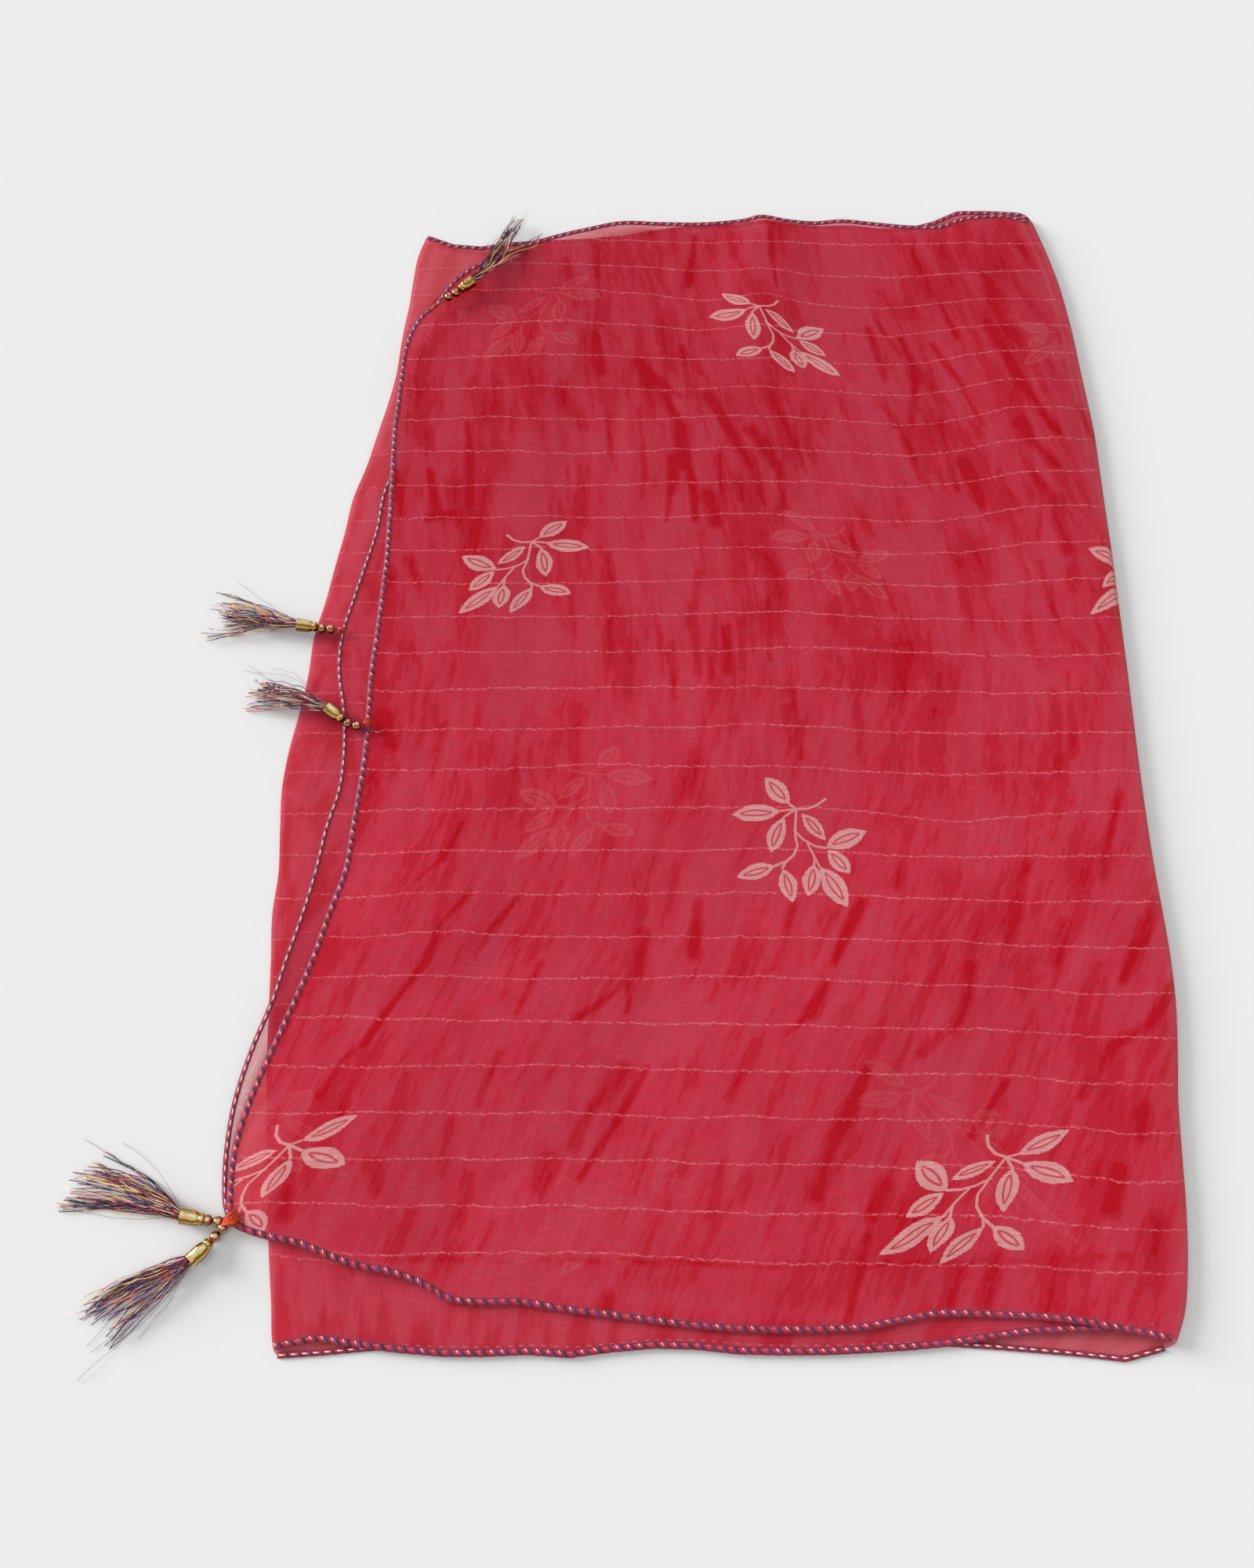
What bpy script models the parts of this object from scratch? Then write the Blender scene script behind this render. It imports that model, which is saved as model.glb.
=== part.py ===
"""A sheer stole with a sewn hem and five tassels, folded in four and laid flat.

Metres, +Z up. +X runs from the hemmed short ends towards the right-hand fold,
+Y from the near edge to the far edge. The origin is under the middle of the
whole outline, on the surface that the stole lies on. All tables and sizes
below are in millimetres and are turned into metres when a mesh is made.
"""
import math
from collections import namedtuple

import bmesh
import bpy

# ---------------------------------------------------------------- main sizes
MM = 0.001
WALL = 1.2            # wall of one leaf of cloth, with its air
GAP = 0.3             # clear space between neighbouring pieces
HEM_W = 3.6           # width of the overlocked hem
HEM_T = 1.3           # its thickness
BACK_H = 2.7          # height of the back leaves
FOLD_LIFT = 1.8       # how much the pile rises towards the right fold
FOLD_REACH = 95.0     # how far from the fold that rise begins
FOLD_R = 5.0          # roll of the right fold, across
INNER_FOLD = 9.0      # the inner right fold lies this far inside the outer one
STRIP = 66.0          # how far the second leaf is modelled under the front one
DROOP = 0.8           # share of its height that cloth loses past the pile
DROOP_REACH = 25.0

# --------------------------------------------------------------- side edges
# One row per section across the folded stole. y is the section's place, and
# the other columns are where each edge lies there (None: no such edge there).
Section = namedtuple("Section", "y front second back fold")
SECTIONS = [
    Section(-373, None, None, -180.0, 257.0),
    Section(-365, None, None, -183.0, 262.0),
    Section(-350, None, None, -185.0, 269.0),
    Section(-325, None, None, -189.0, 274.5),
    Section(-310.5, -210.8, -211.6, -191.0, 276.5),
    Section(-300, -211.0, -213.0, -192.0, 277.8),
    Section(-275, -211.0, -215.1, -195.5, 280.0),
    Section(-250, -206.7, -214.3, -198.5, 282.5),
    Section(-225, -199.0, -209.5, -201.0, 286.5),
    Section(-200, -190.8, -203.0, -202.8, 289.8),
    Section(-175, -182.5, -197.3, -204.5, 291.2),
    Section(-150, -176.0, -191.0, -206.6, 291.2),
    Section(-125, -169.0, -186.0, -205.7, 290.8),
    Section(-100, -167.0, -182.5, -207.6, 291.0),
    Section(-75, -165.0, -177.0, -209.2, 291.6),
    Section(-50, -163.7, -176.5, -207.5, 292.5),
    Section(-25, -164.0, -179.0, -203.7, 293.6),
    Section(0, -164.2, -184.0, -201.0, 294.7),
    Section(25, -162.8, -184.3, -200.0, 295.6),
    Section(50, -161.8, -179.4, -195.2, 296.5),
    Section(75, -161.0, -174.0, -191.6, 297.5),
    Section(100, -161.2, -168.8, -187.6, 298.1),
    Section(125, -161.5, -166.8, -184.6, 298.6),
    Section(150, -162.4, -161.0, -177.8, 299.3),
    Section(175, -163.0, -158.0, -172.8, 299.8),
    Section(200, -162.0, -156.0, -167.6, 299.0),
    Section(225, -161.3, -153.0, -163.8, 297.9),
    Section(250, -159.0, -148.0, -162.3, 297.2),
    Section(270, -151.0, -140.0, -160.5, 296.0),
    Section(283, -139.0, None, -159.0, 295.0),
    Section(300, None, None, -158.0, 293.2),
    Section(325, None, None, -156.0, 289.0),
    Section(345, None, None, -151.0, 284.5),
    Section(358, None, None, -148.0, 281.5),
    Section(367, None, None, -147.0, 279.0),
]

# ------------------------------------------------------ near and far edges
# One row per station along the stole. x is the station's place, and the
# other columns are where each near (bottom) or far (top) edge lies there.
Station = namedtuple("Station", "x front_near third_near fourth_near front_far back_far")
STATIONS = [
    Station(-210.8, -310.5, None, None, None, None),
    Station(-205, -315.5, None, None, None, None),
    Station(-190, -320.3, None, None, None, None),
    Station(-180, -322.0, -368.8, -373.2, None, None),
    Station(-170, -324.4, -365.5, -373.0, None, None),
    Station(-155, -330.0, -364.9, -371.5, None, 346.5),
    Station(-140, -334.3, -367.0, -370.3, 283.0, 341.5),
    Station(-127, -336.3, -368.5, -368.6, 307.0, 335.6),
    Station(-110, -341.6, -370.0, -368.5, 323.0, 335.3),
    Station(-95, -349.0, -371.0, -369.0, 330.8, 338.5),
    Station(-80, -350.5, -371.4, -369.5, 339.0, 340.6),
    Station(-60, -350.4, -369.6, -368.0, 346.5, 341.5),
    Station(-35, -353.8, -371.3, -369.0, 354.7, 343.6),
    Station(-10, -356.5, -368.4, -367.0, 361.6, 346.5),
    Station(20, -359.8, -366.5, -365.0, 360.5, 353.5),
    Station(50, -362.0, -369.0, -367.0, 359.9, 357.0),
    Station(80, -362.4, -369.4, -368.0, 363.0, 359.0),
    Station(92, -362.0, -369.2, -367.8, 366.6, 363.0),
    Station(110, -361.1, -368.4, -367.0, 362.4, 359.5),
    Station(130, -357.6, -367.2, -366.2, 360.0, 357.0),
    Station(150, -354.8, -365.7, -366.3, 361.6, 358.5),
    Station(170, -355.0, -363.0, -367.0, 359.0, 356.0),
    Station(190, -355.6, -360.2, -368.5, 356.2, 355.5),
    Station(205, -356.4, -358.7, -369.4, 354.8, 357.7),
    Station(220, -358.0, -358.2, -370.6, 355.2, 364.4),
    Station(230, -359.6, -358.0, -371.4, 359.2, 369.6),
    Station(240, -361.2, -357.5, -372.5, 362.2, 373.8),
    Station(250, -363.0, -357.0, -373.2, 363.0, 372.2),
    Station(262, -365.3, -356.0, -368.0, 363.5, 369.6),
    Station(274, -365.5, -355.0, -364.0, 361.3, 370.0),
    Station(285, -366.0, -354.0, -360.0, 355.6, 366.0),
]

# Largest soft ridges of the front leaf: ends, half-width and height.
Ridge = namedtuple("Ridge", "x0 y0 x1 y1 half high")
RIDGES = [
    Ridge(92, 365, 84, 262, 22, 2.0),        # short crease down from the far edge
    Ridge(-45, 235, 60, 165, 34, 2.2),       # soft fold across the far half
    Ridge(205, 335, 285, 180, 34, 1.8),      # along the far right
    Ridge(-120, -150, 40, -60, 48, 2.0),     # diagonal swell in the near half
    Ridge(-175, -285, -60, -215, 40, 2.4),   # towards the near left corner
    Ridge(60, -250, 215, -140, 46, 1.8),     # diagonal swell near the right
    Ridge(-60, -318, 230, -322, 26, 1.2),    # over the end of the second leaf
]

# ----------------------------------------------------------------- tassels
# anchor, cap start and cap end, and the skirt's middle, end, its half-width
# there, the heights of what it lies on at the anchor, cap and skirt end, and
# the share of the skirt that stays up on the cloth
Tassel = namedtuple("Tassel", "name anchor bead_a bead_b cap_a cap_b mid end half z_anchor z_cap z_end hold")
TASSELS = [
    Tassel("tassel_1", (-140, 275), (-130.3, 281.6), (-125.4, 285.0), (-121.8, 287.4), (-114.9, 294.2),
           (-100, 318), (-86, 363), 11.0, 7.6, 8.2, 3.5, 0.6),
    Tassel("tassel_2", (-182.6, 27.6), (-189.0, 27.8), (-194.6, 28.2), (-198.4, 28.7), (-209.0, 30.2),
           (-232, 35.6), (-264, 40), 17.0, 4.9, 3.2, 0.4, 0.0),
    Tassel("tassel_3", (-161.5, -35), (-167.2, -37.4), (-172.6, -35.8), (-176.4, -33.4), (-184.8, -26.6),
           (-210, -16.3), (-237, -12), 11.0, 6.2, 5.4, 0.4, 0.4),
    Tassel("tassel_4", (-209.6, -306.2), (-217.4, -309.2), (-222.9, -308.5), (-226.6, -307.9), (-237.2, -306.2),
           (-263, -295.5), (-298.3, -290), 17.0, 4.6, 0.3, 0.3, 0.0),
    Tassel("tassel_5", (-204.0, -311.0), (-214.2, -315.8), (-217.6, -320.0), (-220.0, -323.0), (-227.6, -330.5),
           (-246.2, -342.0), (-266, -355), 17.0, 4.9, 0.3, 0.3, 0.0),
]
BEAD_R = 2.4
CAP_R = 4.1
CAP_R0 = 2.5


# ------------------------------------------------------------ small helpers
def smooth(t):
    t = max(0.0, min(1.0, t))
    return t * t * (3.0 - 2.0 * t)


def column(rows, key, name):
    """A smooth function through one named column of a table."""
    pts = [(getattr(r, key), getattr(r, name)) for r in rows if getattr(r, name) is not None]
    n = len(pts)
    slope = []
    for i in range(n):
        a, b = pts[max(i - 1, 0)], pts[min(i + 1, n - 1)]
        slope.append((b[1] - a[1]) / (b[0] - a[0]))

    def f(u):
        if u <= pts[0][0]:
            return pts[0][1]
        if u >= pts[-1][0]:
            return pts[-1][1]
        i = max(k for k in range(n - 1) if pts[k][0] <= u)
        (u0, v0), (u1, v1) = pts[i], pts[i + 1]
        h = u1 - u0
        t = (u - u0) / h
        return ((2 * t**3 - 3 * t**2 + 1) * v0 + (t**3 - 2 * t**2 + t) * h * slope[i]
                + (-2 * t**3 + 3 * t**2) * v1 + (t**3 - t**2) * h * slope[i + 1])
    return f


front_left = column(SECTIONS, "y", "front")
second_left = column(SECTIONS, "y", "second")
back_left = column(SECTIONS, "y", "back")
fold_right = column(SECTIONS, "y", "fold")
front_near = column(STATIONS, "x", "front_near")
third_near = column(STATIONS, "x", "third_near")
fourth_near = column(STATIONS, "x", "fourth_near")
front_far = column(STATIONS, "x", "front_far")
back_far = column(STATIONS, "x", "back_far")


def along(f, lo, hi, n, upright):
    """n points of an edge from lo to hi; upright edges run along y."""
    out = []
    for i in range(n):
        u = lo + (hi - lo) * i / (n - 1)
        out.append((f(u), u) if upright else (u, f(u)))
    return out


def even(pts, n):
    """The same path with n points at equal steps along it."""
    run = [0.0]
    for p, q in zip(pts, pts[1:]):
        run.append(run[-1] + math.dist(p, q))
    out = []
    k = 0
    for i in range(n):
        s = run[-1] * i / (n - 1)
        while k < len(pts) - 2 and run[k + 1] < s:
            k += 1
        t = (s - run[k]) / max(run[k + 1] - run[k], 1e-9)
        t = max(0.0, min(1.0, t))
        out.append(tuple(a + (b - a) * t for a, b in zip(pts[k], pts[k + 1])))
    return out


def shifted(pts, d):
    """An open path moved d to its left."""
    out = []
    for i, p in enumerate(pts):
        a, b = pts[max(i - 1, 0)], pts[min(i + 1, len(pts) - 1)]
        dx, dy = b[0] - a[0], b[1] - a[1]
        s = math.hypot(dx, dy)
        out.append((p[0] - dy / s * d, p[1] + dx / s * d))
    return out


def ends_at(pts, first, last):
    """The path bent a little so that it starts and ends at given points."""
    n = len(pts) - 1
    out = []
    for i, p in enumerate(pts):
        t = i / n
        out.append((p[0] + (first[0] - pts[0][0]) * (1 - t) + (last[0] - pts[-1][0]) * t,
                    p[1] + (first[1] - pts[0][1]) * (1 - t) + (last[1] - pts[-1][1]) * t))
    return out


def patch(left, right, near, far):
    """Points of a four-sided patch, rows from near to far, each left to right."""
    nb, na = len(left), len(near)
    c00, c10, c01, c11 = left[0], right[0], left[-1], right[-1]
    rows = []
    for j in range(nb):
        b = j / (nb - 1)
        row = []
        for i in range(na):
            a = i / (na - 1)
            p = []
            for k in (0, 1):
                p.append((1 - b) * near[i][k] + b * far[i][k] + (1 - a) * left[j][k] + a * right[j][k]
                         - (1 - a) * (1 - b) * c00[k] - a * (1 - b) * c10[k]
                         - (1 - a) * b * c01[k] - a * b * c11[k])
            row.append(tuple(p))
        rows.append(row)
    return rows


def material(name, colour, rough, metal=0.0):
    m = bpy.data.materials.get(name)
    if m is None:
        m = bpy.data.materials.new(name)
        m.use_nodes = True
        b = m.node_tree.nodes["Principled BSDF"]
        b.inputs["Base Color"].default_value = (*colour, 1.0)
        b.inputs["Roughness"].default_value = rough
        b.inputs["Metallic"].default_value = metal
        m.diffuse_color = (*colour, 1.0)
    return m


CLOTH = ("crimson_chiffon", (0.50, 0.03, 0.06), 0.7, 0.0)
HEM = ("overlock_thread", (0.30, 0.03, 0.12), 0.6, 0.0)
THREAD = ("tassel_thread", (0.20, 0.06, 0.09), 0.6, 0.0)
STITCH = ("orange_thread", (0.75, 0.12, 0.02), 0.6, 0.0)
BRASS = ("brass_cap", (0.60, 0.42, 0.13), 0.3, 1.0)
BEAD = ("rose_gold_bead", (0.66, 0.42, 0.26), 0.25, 1.0)


def make(name, verts, faces, mat):
    """A mesh object from points in millimetres, all its faces pointing out."""
    bm = bmesh.new()
    vs = [bm.verts.new((x * MM, y * MM, z * MM)) for x, y, z in verts]
    for f in faces:
        bm.faces.new([vs[i] for i in f])
    bmesh.ops.recalc_face_normals(bm, faces=bm.faces)
    bmesh.ops.triangulate(bm, faces=bm.faces)
    me = bpy.data.meshes.new(name)
    bm.to_mesh(me)
    bm.free()
    me.materials.append(material(*mat))
    me.shade_smooth()
    me.set_sharp_from_angle(angle=math.radians(50))
    ob = bpy.data.objects.new(name, me)
    bpy.context.scene.collection.objects.link(ob)
    return ob


def skin(upper, lower):
    """Faces of a closed wall between two equal grids of points."""
    nb, na = len(upper), len(upper[0])
    verts = [p for row in upper for p in row] + [p for row in lower for p in row]
    off = nb * na
    faces = []
    for j in range(nb - 1):
        for i in range(na - 1):
            q = (j * na + i, j * na + i + 1, (j + 1) * na + i + 1, (j + 1) * na + i)
            faces.append(q)
            faces.append(tuple(off + k for k in reversed(q)))
    rim = ([(0, i) for i in range(na)] + [(j, na - 1) for j in range(1, nb)]
           + [(nb - 1, i) for i in range(na - 2, -1, -1)] + [(j, 0) for j in range(nb - 2, 0, -1)])
    ids = [j * na + i for j, i in rim]
    for k, a in enumerate(ids):
        b = ids[(k + 1) % len(ids)]
        faces.append((a, off + a, off + b, b))
    return verts, faces


def tube(name, path, rx, rz, sides, mat):
    """A closed tube with an oval section along a path of (x, y, z)."""
    n = len(path)
    verts, faces = [], []
    for i, p in enumerate(path):
        a, b = path[max(i - 1, 0)], path[min(i + 1, n - 1)]
        dx, dy = b[0] - a[0], b[1] - a[1]
        s = math.hypot(dx, dy) or 1.0
        nx, ny = -dy / s, dx / s
        w = rx(i / (n - 1)) if callable(rx) else rx
        h = rz(i / (n - 1)) if callable(rz) else rz
        for k in range(sides):
            t = 2 * math.pi * (k + 0.5) / sides
            verts.append((p[0] + nx * w * math.cos(t), p[1] + ny * w * math.cos(t), p[2] + h * math.sin(t)))
    for i in range(n - 1):
        for k in range(sides):
            k2 = (k + 1) % sides
            faces.append((i * sides + k, i * sides + k2, (i + 1) * sides + k2, (i + 1) * sides + k))
    faces.append(tuple(range(sides))[::-1])
    faces.append(tuple((n - 1) * sides + k for k in range(sides)))
    return make(name, verts, faces, mat)


def turned(name, start, end, profile, sides, mat):
    """A closed turned piece: profile rows are (share along the axis, radius)."""
    ax = [e - s for s, e in zip(start, end)]
    length = math.sqrt(sum(c * c for c in ax))
    ax = [c / length for c in ax]
    s = math.hypot(ax[0], ax[1])
    side = (-ax[1] / s, ax[0] / s, 0.0)
    up = (ax[1] * side[2] - ax[2] * side[1], ax[2] * side[0] - ax[0] * side[2], ax[0] * side[1] - ax[1] * side[0])
    verts, faces = [], []
    for t, r in profile:
        c = [a + u * length * t for a, u in zip(start, ax)]
        for k in range(sides):
            w = 2 * math.pi * (k + 0.5) / sides
            verts.append(tuple(c[q] + r * (math.cos(w) * side[q] + math.sin(w) * up[q]) for q in range(3)))
    n = len(profile)
    for i in range(n - 1):
        for k in range(sides):
            k2 = (k + 1) % sides
            faces.append((i * sides + k, i * sides + k2, (i + 1) * sides + k2, (i + 1) * sides + k))
    faces.append(tuple(range(sides))[::-1])
    faces.append(tuple((n - 1) * sides + k for k in range(sides)))
    return make(name, verts, faces, mat)


# ----------------------------------------------------------------- heights
def back_top(x, y):
    """Height of the back leaves' upper side."""
    return BACK_H + FOLD_LIFT * smooth(1.0 - (fold_right(y) - x) / FOLD_REACH)


def bed(x, y):
    """What the upper leaves lie on: the back leaves, drooping past their fold."""
    past = max(0.0, min(1.0, (back_left(y) - x) / DROOP_REACH))
    return back_top(x, y) * (1.0 - DROOP * past)


def ridges(x, y):
    z = 0.0
    for r in RIDGES:
        ux, uy = r.x1 - r.x0, r.y1 - r.y0
        t = max(0.0, min(1.0, ((x - r.x0) * ux + (y - r.y0) * uy) / (ux * ux + uy * uy)))
        d = math.hypot(x - r.x0 - t * ux, y - r.y0 - t * uy)
        z = max(z, r.high * smooth(1.0 - d / (2.0 * r.half)))
    edge = min(x - front_left(y), fold_right(y) - x, y - front_near(x), front_far(x) - y)
    return z * smooth(edge / 30.0)


def front_under(x, y):
    """Under side of the front leaf: over the back leaves and the second leaf."""
    over = smooth(1.0 - (x - second_left(y) - STRIP - 14.0) / 45.0)
    return bed(x, y) + GAP + over * (WALL + GAP) + ridges(x, y)


# ------------------------------------------------------------------ pieces
def clear_scene():
    for ob in list(bpy.data.objects):
        bpy.data.objects.remove(ob, do_unlink=True)


def back_leaves():
    """Leaves three and four in one rounded solid, with the step between them
    at its near and far edges and one round fold at its left."""
    na, nb = 17, 25
    inset = HEM_W + GAP
    far_pts = even(along(back_far, -151, 280, 120, False), na)

    def outline(near, step):
        left = shifted(even(along(back_left, near(-180.0), 346.0, 120, True), nb), 0.0)
        right = [(fold_right(y) - step, y) for _, y in even(along(fold_right, near(262.0), 366.0, 120, True), nb)]
        near_pts = even(along(near, -180.0, 262.0, 120, False), na)
        c00 = (left[0][0], left[0][1] + inset)
        c01 = (left[-1][0] + 1.0, left[-1][1] - inset)
        c10 = (right[0][0], near(right[0][0]) + inset)
        c11 = (right[-1][0], back_far(right[-1][0]) - inset)
        return (ends_at(left, c00, c01), ends_at(right, c10, c11),
                ends_at(shifted(near_pts, inset), c00, c10), ends_at(shifted(far_pts, -inset), c01, c11))

    third = patch(*outline(third_near, 2.0 + 6.0))
    fourth = patch(*outline(fourth_near, 2.0))

    rim = ([(0, i) for i in range(na)] + [(j, na - 1) for j in range(1, nb)]
           + [(nb - 1, i) for i in range(na - 2, -1, -1)] + [(j, 0) for j in range(nb - 2, 0, -1)])
    n = len(rim)

    def ring(grid, inwards, z):
        pts = [grid[j][i] for j, i in rim]
        out = []
        for k, p in enumerate(pts):
            a, b = pts[k - 1], pts[(k + 1) % n]
            dx, dy = b[0] - a[0], b[1] - a[1]
            s = math.hypot(dx, dy) or 1.0
            d = inwards(k) if callable(inwards) else inwards
            x, y = p[0] - dy / s * d, p[1] + dx / s * d
            out.append((x, y, z(x, y) if callable(z) else z))
        return out

    def notch(k):
        j, i = rim[k]
        return 0.5 if i == 0 else 3.0

    rings = [
        ring(fourth, 1.0, 0.0),
        ring(fourth, 0.2, 0.35),
        ring(fourth, 0.2, 0.95),
        ring(fourth, 1.0, 1.3),
        ring(third, notch, 1.4),
        ring(third, 1.0, 1.5),
        ring(third, 0.2, 1.9),
        ring(third, 0.3, lambda x, y: back_top(x, y) - 0.5),
        ring(third, 1.4, back_top),
    ]
    verts = [p for r in rings for p in r]
    faces = [tuple(range(n))[::-1]]
    for r in range(len(rings) - 1):
        for k in range(n):
            k2 = (k + 1) % n
            faces.append((r * n + k, r * n + k2, (r + 1) * n + k2, (r + 1) * n + k))
    last = (len(rings) - 1) * n
    index = {ji: last + k for k, ji in enumerate(rim)}
    for j in range(1, nb - 1):
        for i in range(1, na - 1):
            x, y = third[j][i]
            index[(j, i)] = len(verts)
            verts.append((x, y, back_top(x, y)))
    for j in range(nb - 1):
        for i in range(na - 1):
            faces.append((index[(j, i)], index[(j, i + 1)], index[(j + 1, i + 1)], index[(j + 1, i)]))
    make("back_leaves", verts, faces, CLOTH)
    return third, fourth


def second_leaf():
    """The strip of the second leaf that shows at the left, and a little more."""
    nb, na = 27, 7
    inset = HEM_W + GAP
    left = shifted(even(along(second_left, -310.5, 262.0, 120, True), nb), -inset)
    c00 = (left[0][0], -306.0)
    left = ends_at(left, c00, left[-1])
    right = [(x + STRIP - inset, y) for x, y in even(along(second_left, -320.0, 262.0, 120, True), nb)]
    near = [tuple(a + (b - a) * i / (na - 1) for a, b in zip(left[0], right[0])) for i in range(na)]
    far = [tuple(a + (b - a) * i / (na - 1) for a, b in zip(left[-1], right[-1])) for i in range(na)]
    grid = patch(left, right, near, far)
    low = [[(x, y, bed(x, y) + GAP) for x, y in row] for row in grid]
    up = [[(x, y, z + WALL) for x, y, z in row] for row in low]
    make("second_leaf", *skin(up, low), CLOTH)
    return grid


def front_leaf():
    """The top leaf, from its short end at the left to the roll of the fold."""
    na, nb = 21, 29
    inset = HEM_W + GAP
    left = shifted(even(along(front_left, -310.5, 283.0, 160, True), nb), -inset)
    far = shifted(even(along(front_far, -139.0, 280.0, 160, False), na), -inset)
    near = shifted(even(along(front_near, -210.8, 262.0, 160, False), na), inset)
    right = [(fold_right(y) - FOLD_R, y)
             for _, y in even(along(fold_right, -361.0, 352.0, 160, True), nb)]
    c00 = (left[0][0], left[0][1] + inset)
    c01 = (left[-1][0] + 1.0, left[-1][1] - inset)
    grid = patch(ends_at(left, c00, c01), right,
                 ends_at(near, c00, right[0]), ends_at(far, c01, right[-1]))
    up, low = [], []
    for row in grid:
        lo = [(x, y, front_under(x, y)) for x, y in row]
        hi = [(x, y, z + WALL) for x, y, z in lo]
        xr, y, zr = hi[-1]
        foot = 1.0
        for deg in (30, 60, 90):
            s, c = math.sin(math.radians(deg)), math.cos(math.radians(deg))
            hi.append((xr + FOLD_R * s, y, foot + (zr - foot) * c))
            lo.append((xr + (FOLD_R - WALL) * s, y, foot + (zr - WALL - foot) * c))
        hi.append((xr + FOLD_R - 0.2, y, 0.0))
        lo.append((xr + FOLD_R - WALL - 0.2, y, 0.0))
        up.append(hi)
        low.append(lo)
    make("front_leaf", *skin(up, low), CLOTH)
    return grid


def trimmed(pts, first, last):
    """A path whose end points are moved inwards along its end segments."""
    out = list(pts)
    for i, j, d in ((0, 1, first), (-1, -2, last)):
        s = math.dist(pts[i], pts[j])
        out[i] = tuple(p + (q - p) * d / s for p, q in zip(pts[i], pts[j]))
    return out


def hem(name, edge, side, height, trim=(0.0, 0.0)):
    """An overlocked hem just outside a leaf's edge; side is +1 if the cloth
    is to the left of the path. height gives the level of its middle."""
    path = trimmed(shifted(edge, -side * (GAP + HEM_W / 2)), *trim)
    return tube(name, [(x, y, height(x, y)) for x, y in path], HEM_W / 2, HEM_T / 2, 6, HEM)


def hems(third, fourth, second, front):
    side = lambda grid: [row[0] for row in grid]
    front_mid = lambda x, y: front_under(x, y) + WALL / 2 + 0.15
    hem("front_hem_left", side(front), -1, front_mid)
    hem("front_hem_near", front[0], 1, front_mid)
    hem("front_hem_far", front[-1], -1, front_mid, (22.0, 5.0))
    hem("second_hem_left", side(second), -1, lambda x, y: bed(x, y) + GAP + WALL / 2 - 0.05)
    upper = lambda x, y: BACK_H - 0.5
    lower = lambda x, y: 0.7
    hem("third_hem_near", [p for p in third[0] if p[0] < 214.0], 1, upper)
    hem("third_hem_far_left", [p for p in third[-1] if p[0] < -84.0], -1, upper)
    hem("third_hem_far_right", [p for p in third[-1] if p[0] > 196.0], -1, upper)
    hem("fourth_hem_near_left", [p for p in fourth[0] if p[0] < -120.0], 1, lower)
    hem("fourth_hem_near_right", [p for p in fourth[0] if p[0] > 160.0], 1, lower)


def tassel(t):
    za, zc, ze = t.z_anchor, t.z_cap, t.z_end
    turned(t.name + "_stitch",
           (t.anchor[0] - 0.1, t.anchor[1], za + 1.3), (t.anchor[0] + 3.6, t.anchor[1] + 0.1, za + 1.3),
           [(0.0, 0.5), (0.3, 1.2), (0.7, 1.2), (1.0, 0.5)], 6, STITCH)
    sphere = [(0.5 - 0.5 * math.cos(math.radians(a)), BEAD_R * math.sin(math.radians(a)))
              for a in (14, 40, 66, 90, 114, 140, 166)]
    d = math.dist(t.cap_a, t.cap_b)
    ux, uy = (t.cap_b[0] - t.cap_a[0]) / d, (t.cap_b[1] - t.cap_a[1]) / d
    for tag, c in (("_bead_a", t.bead_a), ("_bead_b", t.bead_b)):
        z = max(zc, 0.3) + BEAD_R
        turned(t.name + tag, (c[0] - ux * BEAD_R, c[1] - uy * BEAD_R, z), (c[0] + ux * BEAD_R, c[1] + uy * BEAD_R, z),
               sphere, 8, BEAD)
    z = zc + CAP_R
    turned(t.name + "_cap", (*t.cap_a, z), (*t.cap_b, z),
           [(0.0, CAP_R0), (0.12, CAP_R0 + 0.4), (0.2, CAP_R0), (0.4, CAP_R - 0.5), (0.85, CAP_R - 0.2), (1.0, CAP_R)],
           10, BRASS)
    # skirt: narrow at the cap, wide, thin and flat on the surface at its end
    start = (t.cap_b[0] + ux * 1.4, t.cap_b[1] + uy * 1.4)
    path2 = []
    n = 9
    for i in range(n):
        s = i / (n - 1)
        a, b, c = (1 - s)**2, 2 * s * (1 - s), s * s
        mid = (2 * t.mid[0] - 0.5 * start[0] - 0.5 * t.end[0], 2 * t.mid[1] - 0.5 * start[1] - 0.5 * t.end[1])
        path2.append((a * start[0] + b * mid[0] + c * t.end[0], a * start[1] + b * mid[1] + c * t.end[1], s))
    half = lambda s: 3.2 + (t.half - 3.2) * s ** 0.8
    thick = lambda s: 3.2 * (1 - s) + 1.5 * s
    path = []
    for x, y, s in path2:
        down = smooth((s - t.hold) / (0.95 - t.hold))
        floor = zc + (ze - zc) * down
        path.append((x, y, floor + thick(s) + (CAP_R - 3.2) * (1 - s)))
    tube(t.name + "_skirt", path, half, thick, 8, THREAD)


clear_scene()
hems(*back_leaves(), second_leaf(), front_leaf())
for row in TASSELS:
    tassel(row)
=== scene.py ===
"""Looks of a sheer stole with overlocked hems and beaded tassels, folded in four.

All tables are in millimetres in the part's own frame unless they say pixels,
which are those of a 1600 by 2000 picture seen by the camera below.
"""

import math
import random
from collections import namedtuple

import bpy
import numpy as np
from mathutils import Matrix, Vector, noise


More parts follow.
